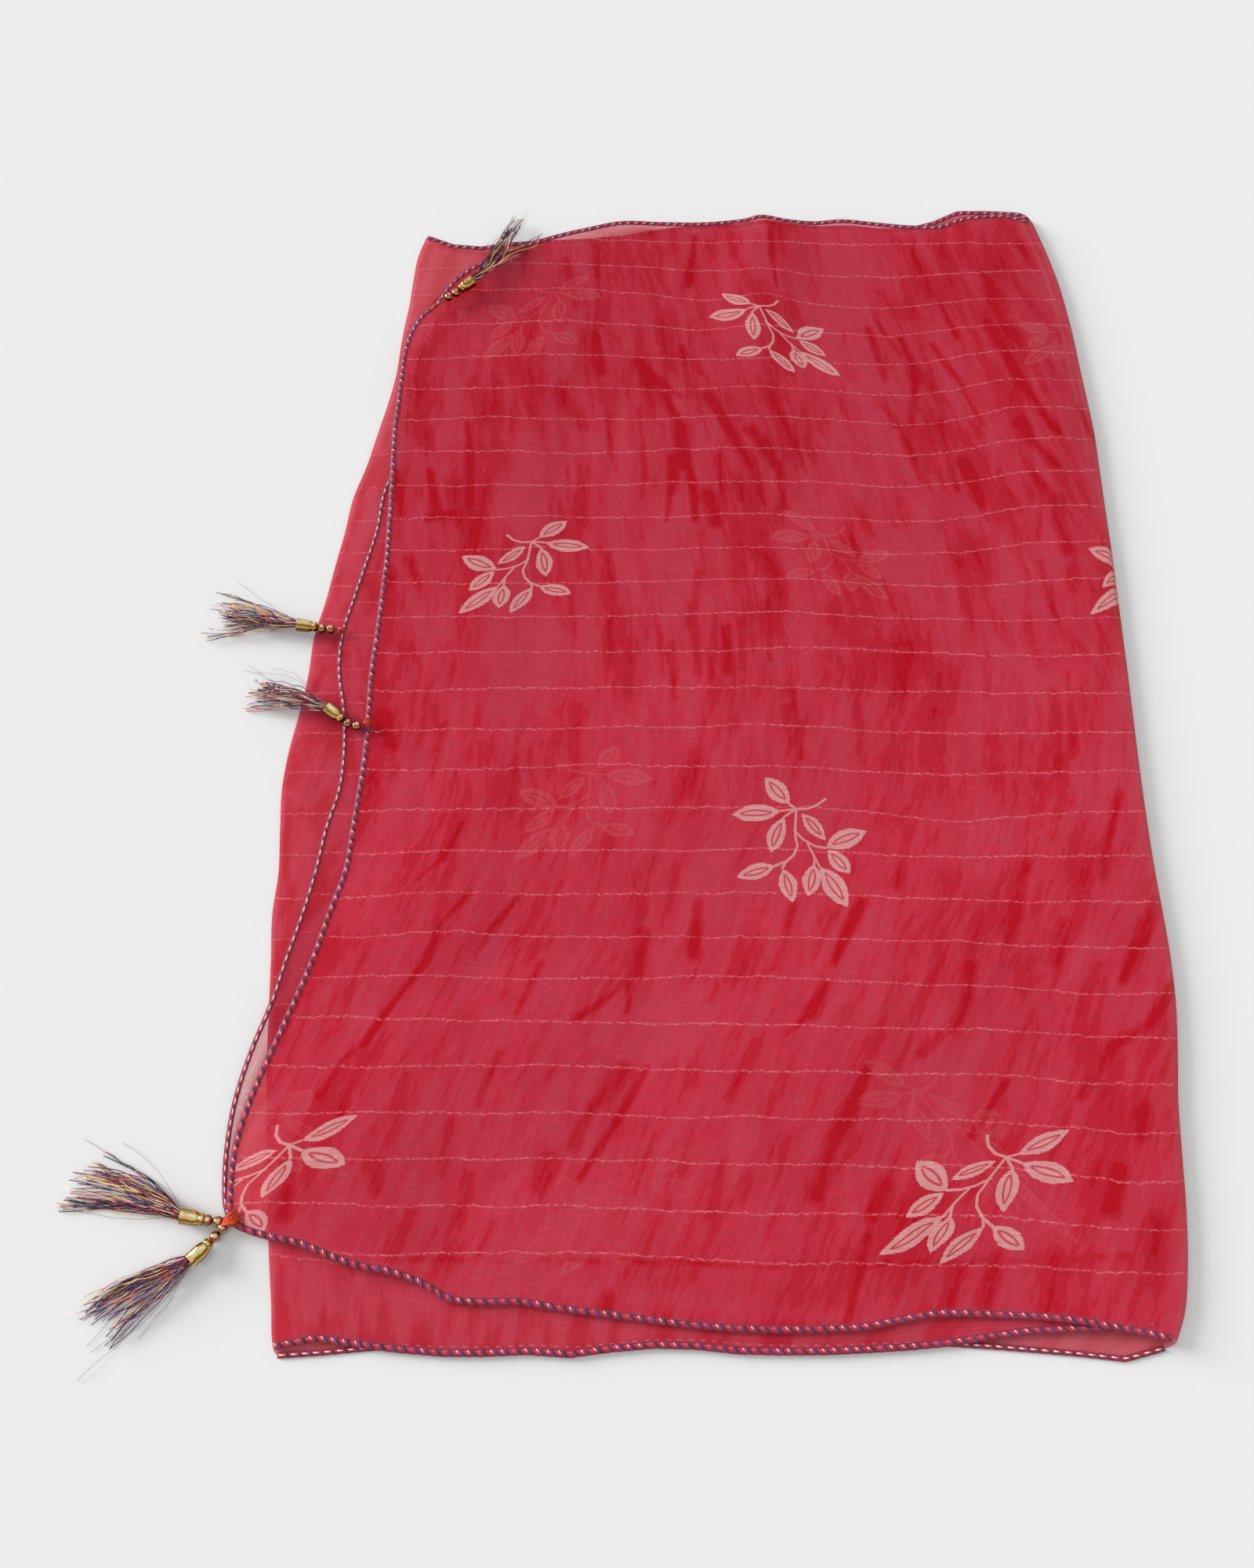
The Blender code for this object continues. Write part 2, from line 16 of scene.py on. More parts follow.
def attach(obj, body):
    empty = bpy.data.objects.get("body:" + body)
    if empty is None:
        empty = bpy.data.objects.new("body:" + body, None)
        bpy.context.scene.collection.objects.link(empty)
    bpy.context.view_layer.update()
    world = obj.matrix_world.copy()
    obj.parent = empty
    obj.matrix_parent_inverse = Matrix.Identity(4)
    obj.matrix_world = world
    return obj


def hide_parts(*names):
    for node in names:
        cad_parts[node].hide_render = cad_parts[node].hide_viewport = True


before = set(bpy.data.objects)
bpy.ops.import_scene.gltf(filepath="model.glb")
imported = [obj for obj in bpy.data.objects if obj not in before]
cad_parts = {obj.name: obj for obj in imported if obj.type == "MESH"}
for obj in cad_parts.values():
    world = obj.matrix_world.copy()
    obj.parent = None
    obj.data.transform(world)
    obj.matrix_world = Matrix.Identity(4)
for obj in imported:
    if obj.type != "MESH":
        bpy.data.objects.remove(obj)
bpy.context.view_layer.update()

MM = 0.001

# =================================================================== camera
CAM = (-8.0, -304.0, 620.0)       # where the camera stands
DIP = 69.4                        # how far it looks below the horizon, degrees
FOCAL = 1444.0                    # focal length in pixels of a 2000 pixel side

cam_data = bpy.data.cameras.new("camera")
cam_data.sensor_fit = "VERTICAL"
cam_data.sensor_height = 36.0
cam_data.lens = 36.0 * FOCAL / 2000.0
cam_data.clip_start = 0.02
cam_data.clip_end = 30.0
cam = bpy.data.objects.new("camera", cam_data)
cam.location = tuple(c * MM for c in CAM)
cam.rotation_euler = (math.radians(90.0 - DIP), 0.0, 0.0)
bpy.context.scene.collection.objects.link(cam)
bpy.context.scene.camera = cam
bpy.context.scene.view_settings.view_transform = "Standard"
bpy.context.scene.view_settings.look = "None"


def at(u, v, z=6.0):
    """The place in millimetres, at height z, that shows at pixel (u, v)."""
    s, c = math.sin(math.radians(DIP)), math.cos(math.radians(DIP))
    t = (CAM[2] - z) / (FOCAL * s - (1000.0 - v) * c)
    return CAM[0] + t * (u - 800.0), CAM[1] + t * (FOCAL * c + (1000.0 - v) * s)


# ============================================================ floor and light
def srgb(r, g, b):
    """Linear colour of an 8-bit one."""
    def f(c):
        c /= 255.0
        return c / 12.92 if c <= 0.04045 else ((c + 0.055) / 1.055) ** 2.4
    return (f(r), f(g), f(b))


def plain(name, colour, rough):
    m = bpy.data.materials.new(name)
    m.use_nodes = True
    b = m.node_tree.nodes["Principled BSDF"]
    b.inputs["Base Color"].default_value = (*colour, 1.0)
    b.inputs["Roughness"].default_value = rough
    b.inputs["Specular IOR Level"].default_value = 0.0
    return m


floor_mesh = bpy.data.meshes.new("floor")
floor_mesh.from_pydata([(-6, -6, 0), (6, -6, 0), (6, 6, 0), (-6, 6, 0)], [], [(0, 1, 2, 3)])
floor = bpy.data.objects.new("floor", floor_mesh)
floor.data.materials.append(plain("studio_floor", (0.80, 0.80, 0.80), 0.9))
bpy.context.scene.collection.objects.link(floor)

world = bpy.data.worlds.new("studio")
world.use_nodes = True
wt = world.node_tree
sky = wt.nodes.new("ShaderNodeTexCoord")
rise = wt.nodes.new("ShaderNodeSeparateXYZ")
wt.links.new(sky.outputs["Generated"], rise.inputs[0])
ramp = wt.nodes.new("ShaderNodeMapRange")
ramp.interpolation_type = "SMOOTHSTEP"
for name, value in (("From Min", -0.1), ("From Max", 0.75), ("To Min", 0.29), ("To Max", 0.72)):
    ramp.inputs[name].default_value = value
wt.links.new(rise.outputs[2], ramp.inputs["Value"])
wt.nodes["Background"].inputs["Color"].default_value = (1.0, 1.0, 1.0, 1.0)
wt.links.new(ramp.outputs["Result"], wt.nodes["Background"].inputs["Strength"])
bpy.context.scene.world = world

sun = bpy.data.lights.new("key", "SUN")
sun.energy = 4.12
sun.angle = math.radians(25.0)
sun_ob = bpy.data.objects.new("key", sun)
sun_ob.rotation_euler = (Vector((0.0, 0.0, 0.0)) - Vector((-1.0, 0.45, 0.34))).to_track_quat("-Z", "Y").to_euler()
bpy.context.scene.collection.objects.link(sun_ob)

# ======================================================= sizes of the cloth
WALL, GAP, HEM_W = 1.2, 0.3, 3.6
BACK_H, FOLD_LIFT, FOLD_REACH = 2.7, 1.8, 95.0
INNER_FOLD = 9.0
STRIP = 66.0
DROOP, DROOP_REACH = 0.8, 25.0
CLOTH_W, CLOTH_L = 0.74, 1.84     # the cut, in metres
TUCK = 2.0                        # how far the cloth's edge lies inside the hem's

Section = namedtuple("Section", "y front second back fold")
SECTIONS = [
    Section(-373, None, None, -180.0, 257.0),
    Section(-365, None, None, -183.0, 262.0),
    Section(-350, None, None, -185.0, 269.0),
    Section(-325, None, None, -189.0, 274.5),
    Section(-310.5, -210.8, -211.6, -191.0, 276.5),
    Section(-300, -213.2, -216.0, -192.0, 277.8),
    Section(-275, -213.6, -218.2, -195.5, 280.0),
    Section(-250, -208.2, -216.6, -198.5, 282.5),
    Section(-225, -199.6, -211.0, -201.0, 286.5),
    Section(-200, -190.8, -203.0, -202.8, 289.8),
    Section(-175, -182.5, -197.3, -204.5, 291.2),
    Section(-150, -176.0, -191.0, -206.6, 291.2),
    Section(-125, -169.0, -186.0, -205.7, 290.8),
    Section(-100, -167.0, -182.5, -207.6, 291.0),
    Section(-75, -165.0, -177.0, -209.2, 291.6),
    Section(-50, -163.7, -176.5, -207.5, 292.5),
    Section(-25, -164.0, -179.0, -203.7, 293.6),
    Section(0, -164.2, -184.0, -201.0, 294.7),
    Section(25, -162.8, -184.3, -200.0, 295.6),
    Section(50, -161.8, -179.4, -195.2, 296.5),
    Section(75, -161.0, -174.0, -191.6, 297.5),
    Section(100, -161.2, -168.8, -187.6, 298.1),
    Section(125, -161.5, -166.8, -184.6, 298.6),
    Section(150, -162.4, -161.0, -177.8, 299.3),
    Section(175, -163.0, -158.0, -172.8, 299.8),
    Section(200, -162.0, -156.0, -167.6, 299.0),
    Section(225, -161.3, -153.0, -163.8, 297.9),
    Section(250, -159.0, -148.0, -162.3, 297.2),
    Section(270, -151.0, -140.0, -160.5, 296.0),
    Section(283, -139.0, None, -159.0, 295.0),
    Section(300, None, None, -158.0, 293.2),
    Section(325, None, None, -156.0, 289.0),
    Section(345, None, None, -151.0, 284.5),
    Section(358, None, None, -148.0, 281.5),
    Section(367, None, None, -147.0, 279.0),
]

Station = namedtuple("Station", "x front_near third_near fourth_near front_far back_far")
STATIONS = [
    Station(-210.8, -310.5, None, None, None, None),
    Station(-205, -315.5, None, None, None, None),
    Station(-190, -320.3, None, None, None, None),
    Station(-180, -322.0, -368.8, -373.2, None, None),
    Station(-170, -324.4, -365.5, -373.0, None, None),
    Station(-155, -330.0, -364.9, -371.5, None, 346.5),
    Station(-140, -334.3, -367.0, -370.3, 283.0, 341.5),
    Station(-127, -336.3, -368.5, -368.6, 307.0, 335.6),
    Station(-110, -341.6, -370.0, -368.5, 323.0, 335.3),
    Station(-95, -349.0, -371.0, -369.0, 330.8, 338.5),
    Station(-80, -350.5, -371.4, -369.5, 339.0, 340.6),
    Station(-60, -350.4, -369.6, -368.0, 346.5, 341.5),
    Station(-35, -353.8, -371.3, -369.0, 354.7, 343.6),
    Station(-10, -356.5, -368.4, -367.0, 361.6, 346.5),
    Station(20, -359.8, -366.5, -365.0, 360.5, 353.5),
    Station(50, -362.0, -369.0, -367.0, 359.9, 357.0),
    Station(80, -362.4, -369.4, -368.0, 363.0, 359.0),
    Station(92, -362.0, -369.2, -367.8, 366.6, 363.0),
    Station(110, -361.1, -368.4, -367.0, 362.4, 359.5),
    Station(130, -357.6, -367.2, -366.2, 360.0, 357.0),
    Station(150, -354.8, -365.7, -366.3, 361.6, 358.5),
    Station(170, -355.0, -363.0, -367.0, 359.0, 356.0),
    Station(190, -355.6, -360.2, -368.5, 356.2, 355.5),
    Station(205, -356.4, -358.7, -369.4, 354.8, 357.7),
    Station(220, -358.0, -358.2, -370.6, 355.2, 364.4),
    Station(230, -359.6, -358.0, -371.4, 359.2, 369.6),
    Station(240, -361.2, -357.5, -372.5, 362.2, 373.8),
    Station(250, -363.0, -357.0, -373.2, 363.0, 372.2),
    Station(262, -365.3, -356.0, -368.0, 363.5, 369.6),
    Station(274, -365.5, -355.0, -364.0, 361.3, 370.0),
    Station(285, -366.0, -354.0, -360.0, 355.6, 366.0),
]

Ridge = namedtuple("Ridge", "x0 y0 x1 y1 half high")
RIDGES = [
    Ridge(92, 365, 84, 262, 22, 2.0),
    Ridge(-45, 235, 60, 165, 34, 2.2),
    Ridge(205, 335, 285, 180, 34, 1.8),
    Ridge(-120, -150, 40, -60, 48, 2.0),
    Ridge(-175, -285, -60, -215, 40, 2.4),
    Ridge(60, -250, 215, -140, 46, 1.8),
    Ridge(-60, -318, 230, -322, 26, 1.2),
]

Tassel = namedtuple("Tassel", "name anchor bead_a bead_b cap_a cap_b mid end half z_anchor z_cap z_end hold")
TASSELS = [
    Tassel("tassel_1", (-140, 275), (-130.3, 281.6), (-125.4, 285.0), (-121.8, 287.4), (-114.9, 294.2),
           (-100, 318), (-86, 363), 11.0, 7.6, 8.2, 3.5, 0.6),
    Tassel("tassel_2", (-182.6, 27.6), (-189.0, 27.8), (-194.6, 28.2), (-198.4, 28.7), (-209.0, 30.2),
           (-232, 35.6), (-264, 40), 17.0, 4.9, 3.2, 0.4, 0.0),
    Tassel("tassel_3", (-161.5, -35), (-167.2, -37.4), (-172.6, -35.8), (-176.4, -33.4), (-184.8, -26.6),
           (-210, -16.3), (-237, -12), 11.0, 6.2, 5.4, 0.4, 0.4),
    Tassel("tassel_4", (-209.6, -306.2), (-217.4, -309.2), (-222.9, -308.5), (-226.6, -307.9), (-237.2, -306.2),
           (-263, -295.5), (-295.5, -290), 16.0, 4.6, 0.3, 0.3, 0.0),
    Tassel("tassel_5", (-204.0, -311.0), (-214.2, -315.8), (-217.6, -320.0), (-220.0, -323.0), (-227.6, -330.5),
           (-248.0, -342.0), (-277, -359), 12.5, 4.9, 0.3, 0.3, 0.0),
]
BEAD_R = 2.4
CAP_R = 4.1
CAP_R0 = 2.5

# How far the woven stripes stand off their even places, in sections along y
# and at five places across (x of each column: -168, -54, 84, 175, 258).
Shift = namedtuple("Shift", "y a b c d e")
SHIFT_X = (-168.0, -54.0, 84.0, 175.0, 258.0)
SHIFTS = [
    Shift(-349, 0.0, 3.0, -4.0, -6.0, -7.0),
    Shift(-300, -3.0, -2.5, -6.5, -7.5, -16.0),
    Shift(-250, -8.0, -6.5, -9.5, -10.5, -16.5),
    Shift(-201, -6.0, -9.0, -11.0, -13.0, -18.0),
    Shift(-152, -14.0, -12.0, -11.0, -15.0, -17.0),
    Shift(-102, -12.0, -10.5, -9.5, -14.5, -12.5),
    Shift(-53, -11.0, -11.0, -8.0, -13.0, -12.0),
    Shift(-4, -9.0, -7.0, -6.0, -9.0, -11.0),
    Shift(45, -9.0, -8.5, -4.5, -10.5, -12.5),
    Shift(95, -11.0, -10.5, -8.5, -13.5, -7.5),
    Shift(144, -11.0, -11.0, -8.0, -11.0, -2.0),
    Shift(193, -10.0, -9.0, -5.5, -13.0, -0.5),
    Shift(242, -8.0, -6.5, -8.5, -13.5, -4.0),
    Shift(292, 0.0, 3.0, -8.0, -14.0, -8.0),
    Shift(341, -2.0, -1.0, -4.0, -5.0, -6.0),
]
STRIPE = 24.65                    # pitch of the woven stripes
FIRST = -349.0                    # place of the first one above the near hem

# Small local waves of the stripes: middle, half lengths, height.
Hump = namedtuple("Hump", "x y rx ry dt")
HUMPS = [
    Hump(84, 280, 24, 30, 6.5),
    Hump(-62, 92, 26, 22, 3.0),
    Hump(20, 205, 40, 30, -3.0),
    Hump(150, 20, 50, 26, 2.5),
    Hump(-30, -60, 46, 22, 3.0),
    Hump(40, -190, 50, 24, 2.5),
    Hump(-110, -160, 34, 26, 3.5),
    Hump(190, -90, 44, 20, -3.0),
    Hump(-90, 180, 40, 20, 2.5),
    Hump(215, 250, 36, 24, 3.0),
]

# How the cloth's grain leans: its sideways place along y, at the left hem's
# side and at the right fold's side.
Lean = namedtuple("Lean", "y left right")
LEANS = [
    Lean(-375, -132, -150),
    Lean(-250, -72, -90),
    Lean(-150, -32, -42),
    Lean(-80, -11, -14),
    Lean(0, 0, 0),
    Lean(100, 0, -14),
    Lean(200, 0, -34),
    Lean(300, -2, -56),
    Lean(375, -3, -72),
]

# The rows of sprigs: place across, place along, which way round, how much
# the cloth is sheared there, and how much it is stretched.
Row = namedtuple("Row", "t s way shear stretch tall rise")
ROWS = [
    Row(613.5, 253.0, 1.03, -0.47, 1.000, 0.85, 0.0),
    Row(431.5, 81.5, -1.05, 0.25, 0.937, 0.89, 0.0),
    Row(252.5, 258.0, 1.0, -0.12, 1.000, 0.945, 0.0),
    Row(63.0, 10.3, -0.95, 0.83, 0.972, 0.978, 0.172),
]
REPEAT = 365.0

# Where the cloth is drawn sideways and up a little: middle, half lengths, moves.
Drift = namedtuple("Drift", "x y rx ry ds dt")
DRIFTS = [Drift(290, 78, 60, 60, -6.0, -4.5), Drift(-205, -285, 60, 60, -4.5, -1.5),
          Drift(-185, -322, 30, 26, 12.0, -2.0)]

# How far the second leaf has slipped along its length and up, by place.
Slip = namedtuple("Slip", "y d e")
SLIPS = [Slip(-375, 7, 36), Slip(-257, 7, 36), Slip(-87, 24, 24), Slip(86, -4, 8), Slip(250, -43, 10),
         Slip(375, -43, 10)]


# ============================================================ small helpers
def smooth(t):
    t = np.clip(t, 0.0, 1.0)
    return t * t * (3.0 - 2.0 * t)


def column(rows, key, name):
    """A smooth function through one named column, for numbers and arrays."""
    pts = [(getattr(r, key), getattr(r, name)) for r in rows if getattr(r, name) is not None]
    n = len(pts)
    slope = []
    for i in range(n):
        a, b = pts[max(i - 1, 0)], pts[min(i + 1, n - 1)]
        slope.append((b[1] - a[1]) / (b[0] - a[0]))
    xs = np.arange(pts[0][0], pts[-1][0] + 0.25, 0.5)
    ys = []
    i = 0
    for u in xs:
        while i < n - 2 and pts[i + 1][0] <= u:
            i += 1
        (u0, v0), (u1, v1) = pts[i], pts[i + 1]
        h = u1 - u0
        t = (u - u0) / h
        ys.append((2 * t**3 - 3 * t**2 + 1) * v0 + (t**3 - 2 * t**2 + t) * h * slope[i]
                  + (-2 * t**3 + 3 * t**2) * v1 + (t**3 - t**2) * h * slope[i + 1])
    ys = np.array(ys)
    return lambda u: np.interp(u, xs, ys)


front_left = column(SECTIONS, "y", "front")
second_left = column(SECTIONS, "y", "second")
back_left = column(SECTIONS, "y", "back")
fold_right = column(SECTIONS, "y", "fold")
front_near = column(STATIONS, "x", "front_near")
third_near = column(STATIONS, "x", "third_near")
fourth_near = column(STATIONS, "x", "fourth_near")
front_far = column(STATIONS, "x", "front_far")
back_far = column(STATIONS, "x", "back_far")


def wobble(x, y, scale, seed):
    """Smooth noise between about -1 and 1 at points of a plane."""
    x, y = np.broadcast_arrays(np.asarray(x, float), np.asarray(y, float))
    out = np.empty(x.size)
    for k, (a, b) in enumerate(zip(x.ravel(), y.ravel())):
        out[k] = noise.noise(Vector((a / scale, b / scale, seed * 7.31)))
    return out.reshape(x.shape)


def back_top(x, y):
    return BACK_H + FOLD_LIFT * smooth(1.0 - (fold_right(y) - x) / FOLD_REACH)


def bed(x, y):
    past = np.clip((back_left(y) - x) / DROOP_REACH, 0.0, 1.0)
    return back_top(x, y) * (1.0 - DROOP * past)


def ridges(x, y):
    z = np.zeros(np.broadcast(x, y).shape)
    for r in RIDGES:
        ux, uy = r.x1 - r.x0, r.y1 - r.y0
        t = np.clip(((x - r.x0) * ux + (y - r.y0) * uy) / (ux * ux + uy * uy), 0.0, 1.0)
        d = np.hypot(x - r.x0 - t * ux, y - r.y0 - t * uy)
        z = np.maximum(z, r.high * smooth(1.0 - d / (2.0 * r.half)))
    edge = np.minimum(np.minimum(x - front_left(y), fold_right(y) - x),
                      np.minimum(y - front_near(x), front_far(x) - y))
    return z * smooth(edge / 30.0)


def over(x, y):
    return smooth(1.0 - (x - second_left(y) - STRIP - 14.0) / 45.0)


def front_under(x, y):
    return bed(x, y) + GAP + over(x, y) * (WALL + GAP) + ridges(x, y)


def even(path, n):
    """A path of (x, y) with n points at equal steps along it."""
    p = np.asarray(path, float)
    run = np.concatenate([[0.0], np.cumsum(np.hypot(*np.diff(p, axis=0).T))])
    s = np.linspace(0.0, run[-1], n)
    return np.stack([np.interp(s, run, p[:, 0]), np.interp(s, run, p[:, 1])], 1)


def upright(f, lo, hi, n, dx=0.0):
    y = np.linspace(lo, hi, 400)
    return even(np.stack([f(y) + dx, y], 1), n)


def level(f, lo, hi, n, dy=0.0):
    x = np.linspace(lo, hi, 400)
    return even(np.stack([x, f(x) + dy], 1), n)


def ends_at(path, first, last):
    t = np.linspace(0.0, 1.0, len(path))[:, None]
    return path + (np.asarray(first) - path[0]) * (1 - t) + (np.asarray(last) - path[-1]) * t


def patch(left, right, near, far):
    """Four edges to a grid [row, column, xy]; rows run from near to far."""
    a = np.linspace(0, 1, len(near))[None, :, None]
    b = np.linspace(0, 1, len(left))[:, None, None]
    return ((1 - b) * near[None] + b * far[None] + (1 - a) * left[:, None] + a * right[:, None]
            - (1 - a) * (1 - b) * left[0] - a * (1 - b) * right[0]
            - (1 - a) * b * left[-1] - a * b * right[-1])


# ==================================================== the cloth as one sheet
NB = 300                          # rows of the mesh, from near to far
NA = {"front": 220, "fourth": 22, "third": 22, "second": 42}


def leaf(name, left, right, near, far):
    na = NA[name]
    left, right = even(left, NB), even(right, NB)
    near, far = even(near, na), even(far, na)
    return patch(left, right, ends_at(near, left[0], right[0]), ends_at(far, left[-1], right[-1]))


def second_far(x):
    return np.minimum(front_far(x) - 4.0, back_far(x) - 3.0)


def second_near(x):
    return np.maximum(front_near(x) + 4.0, -328.0)


FR = 4.0
grid1 = leaf("front",
             upright(front_left, -308.5, 281.0, 400, TUCK),
             upright(fold_right, -363.0, 353.5, 400, -FR),
             level(front_near, -208.5, 262.0, 400, TUCK),
             level(front_far, -137.0, 284.0, 400, -TUCK))
grid4 = leaf("fourth",
             upright(back_left, -371.2, 344.5, 400, 1.0),
             upright(fold_right, -368.0, 366.0, 400, -FR),
             level(fourth_near, -179.0, 262.0, 400, TUCK),
             level(back_far, -150.0, 280.0, 400, -TUCK - 1.0))
grid3 = leaf("third",
             upright(back_left, -366.8, 344.0, 400, 1.0),
             upright(fold_right, -357.0, 364.0, 400, -INNER_FOLD - 1.5),
             level(third_near, -179.0, 262.0, 400, TUCK),
             level(back_far, -150.0, 274.0, 400, -TUCK))
grid2 = leaf("second",
             upright(second_left, -308.0, 264.0, 400, TUCK),
             upright(fold_right, -328.0, 351.0, 400, -INNER_FOLD - 1.5),
             level(second_near, -209.0, 266.0, 400, 0.0),
             level(second_far, -138.0, 278.0, 400, 0.0))


def z_front(x, y):
    return front_under(x, y) + 0.9


def z_second(x, y):
    return bed(x, y) + 0.35 + 0.7 * over(x, y)


def z_third(x, y):
    return back_top(x, y) - 0.55


def z_fourth(x, y):
    return np.full(np.broadcast(x, y).shape, 0.35)


def raised(grid, z):
    x, y = grid[..., 0], grid[..., 1]
    return np.concatenate([grid, np.broadcast_to(z, x.shape)[..., None]], 2)


x1, y1 = grid1[..., 0], grid1[..., 1]
edge1 = smooth(np.minimum(np.minimum(x1 - front_left(y1), fold_right(y1) - x1),
                          np.minimum(y1 - front_near(x1), front_far(x1) - y1)) / 25.0)
ripple1 = edge1 * (0.30 * wobble(x1, y1, 46.0, 1) + 0.16 * wobble(x1 * 1.5, y1 * 0.8, 19.0, 2) + 0.12)
x2, y2 = grid2[..., 0], grid2[..., 1]
ripple2 = 0.12 * wobble(x2, y2, 40.0, 3)
leaf1 = raised(grid1, z_front(x1, y1) + ripple1)
leaf2 = raised(grid2, z_second(x2, y2) + ripple2)
leaf3 = raised(grid3, z_third(grid3[..., 0], grid3[..., 1]))
leaf4 = raised(grid4, z_fourth(grid4[..., 0], grid4[..., 1]))


def turn(a, b, reach, steps, side):
    """Columns of a half turn from edge a to edge b, bulging by reach."""
    cols = []
    for k in range(1, steps + 1):
        t = math.pi * k / (steps + 1)
        w = (1 - math.cos(t)) / 2
        c = a + (b - a) * w
        c = c.copy()
        c[:, 0] += side * reach * math.sin(t)
        cols.append(c)
    return np.stack(cols, 1)


def weave_shift(x, y):
    """How far the stripes stand off their even places."""
    ys = [r.y for r in SHIFTS]
    cols = np.array([[r.a, r.b, r.c, r.d, r.e] for r in SHIFTS])
    per = np.stack([np.interp(y, ys, cols[:, k]) for k in range(5)], -1)
    out = per[..., 0].copy()
    for k in range(4):
        w = smooth((x - SHIFT_X[k]) / (SHIFT_X[k + 1] - SHIFT_X[k]))
        out = out + (per[..., k + 1] - per[..., k]) * w
    return out


def weave_line(y):
    """Where s = 0 of the front leaf would lie without its drawn-in corners."""
    return np.where(y > 225.0, -161.0, front_left(y))


def second_line(y):
    return np.where(y > 225.0, -153.0, second_left(y))


def weave_t(x, y):
    wave = 1.3 * wobble(x, y * 1.6, 34.0, 5) + 0.9 * wobble(x, y * 1.2, 15.0, 6)
    for h in HUMPS:
        d = ((x - h.x) / h.rx)**2 + ((y - h.y) / h.ry)**2
        wave = wave + h.dt * np.exp(-1.5 * d)
    return y - FIRST - weave_shift(x, y) - wave


def stretch(y):
    rows = sorted(ROWS, key=lambda r: r.t)
    return np.interp(y, [r.t + FIRST - 9.0 for r in rows], [r.stretch for r in rows])


def slip(y):
    return np.interp(y, [r.y for r in SLIPS], [r.d for r in SLIPS])


def slip_up(x, y):
    return np.interp(y, [r.y for r in SLIPS], [r.e for r in SLIPS]) * smooth((fold_right(y) - 15.0 - x) / 120.0)


def lean(x, y):
    """Sideways place of the grain line through a point."""
    ys = [r.y for r in LEANS]
    a, b = np.interp(y, ys, [r.left for r in LEANS]), np.interp(y, ys, [r.right for r in LEANS])
    return a + (b - a) * smooth((x + 165.0) / 260.0)


def parts_of_s(y):
    s1 = (fold_right(y) - weave_line(y)) * stretch(y)
    s4 = 1000.0 * CLOTH_L - (fold_right(y) - INNER_FOLD - second_line(y)) + slip(y)
    s_mid = s1 + (s4 - s1) * 0.472
    return s1, s_mid, s4


def weave_of(x, y, which):
    s1, sm, s4 = parts_of_s(y)
    if which == 1:
        s = (x - weave_line(y)) * stretch(y)
        t = weave_t(x, y)
        for d in DRIFTS:
            w = np.exp(-((x - d.x) / d.rx)**2 - ((y - d.y) / d.ry)**2)
            s, t = s + d.ds * w, t + d.dt * w
        return np.stack([s, t], -1)
    elif which == 4:
        s = s1 + (sm - s1) * (fold_right(y) - x) / (fold_right(y) - back_left(y))
    elif which == 3:
        part = (x - back_left(y)) / (fold_right(y) - INNER_FOLD - back_left(y))
        bow = np.sin(np.pi * np.clip(part, 0.0, 1.0)) * (1.0 - smooth((y + 250.0) / 100.0))
        return np.stack([sm + (s4 - sm) * part + 36.0 * bow, weave_t(x, y) + 15.0 * bow], -1)
    else:
        s = 1000.0 * CLOTH_L - (x - second_line(y)) + slip(y)
        return np.stack([s, weave_t(x, y) - slip_up(x, y)], -1)
    return np.stack([s, weave_t(x, y)], -1)


def build_cloth():
    w1 = weave_of(leaf1[..., 0], leaf1[..., 1], 1)
    w2 = weave_of(leaf2[..., 0], leaf2[..., 1], 2)
    w3 = weave_of(leaf3[..., 0], leaf3[..., 1], 3)
    w4 = weave_of(leaf4[..., 0], leaf4[..., 1], 4)
    parts = [(leaf1, w1, 1)]

    def bend(a, b, wa, wb, reach, steps, side, code):
        cols = turn(a, b, reach, steps, side)
        k = (np.arange(1, steps + 1) / (steps + 1))[None, :, None]
        return cols, wa[:, None] * (1 - k) + wb[:, None] * k, code

    parts.append(bend(leaf1[:, -1], leaf4[:, -1], w1[:, -1], w4[:, -1], FR, 7, 1, 1))
    parts.append((leaf4[:, ::-1], w4[:, ::-1], 4))
    parts.append(bend(leaf4[:, 0], leaf3[:, 0], w4[:, 0], w3[:, 0], 1.0, 4, -1, 3))
    parts.append((leaf3, w3, 3))
    parts.append(bend(leaf3[:, -1], leaf2[:, -1], w3[:, -1], w2[:, -1], 1.4, 4, 1, 3))
    parts.append((leaf2[:, ::-1], w2[:, ::-1], 2))
    co = np.concatenate([p[0] for p in parts], 1)
    st = np.concatenate([p[1] for p in parts], 1)
    code = np.concatenate([np.full(p[0].shape[:2], p[2]) for p in parts], 1)
    nb, na = co.shape[:2]
    idx = np.arange(nb * na).reshape(nb, na)
    quads = np.stack([idx[:-1, :-1], idx[:-1, 1:], idx[1:, 1:], idx[1:, :-1]], -1).reshape(-1, 4)
    me = bpy.data.meshes.new("folded_cloth")
    me.from_pydata((co.reshape(-1, 3) * MM).tolist(), [], quads.tolist())
    a = me.attributes.new("weave", "FLOAT_VECTOR", "POINT")
    a.data.foreach_set("vector", np.concatenate([st.reshape(-1, 2), code.reshape(-1, 1)], 1).astype(np.float32).ravel())
    me.shade_smooth()
    ob = bpy.data.objects.new("folded_cloth", me)
    bpy.context.scene.collection.objects.link(ob)
    return ob, co, st, code


cloth, CO, ST, CODE = build_cloth()


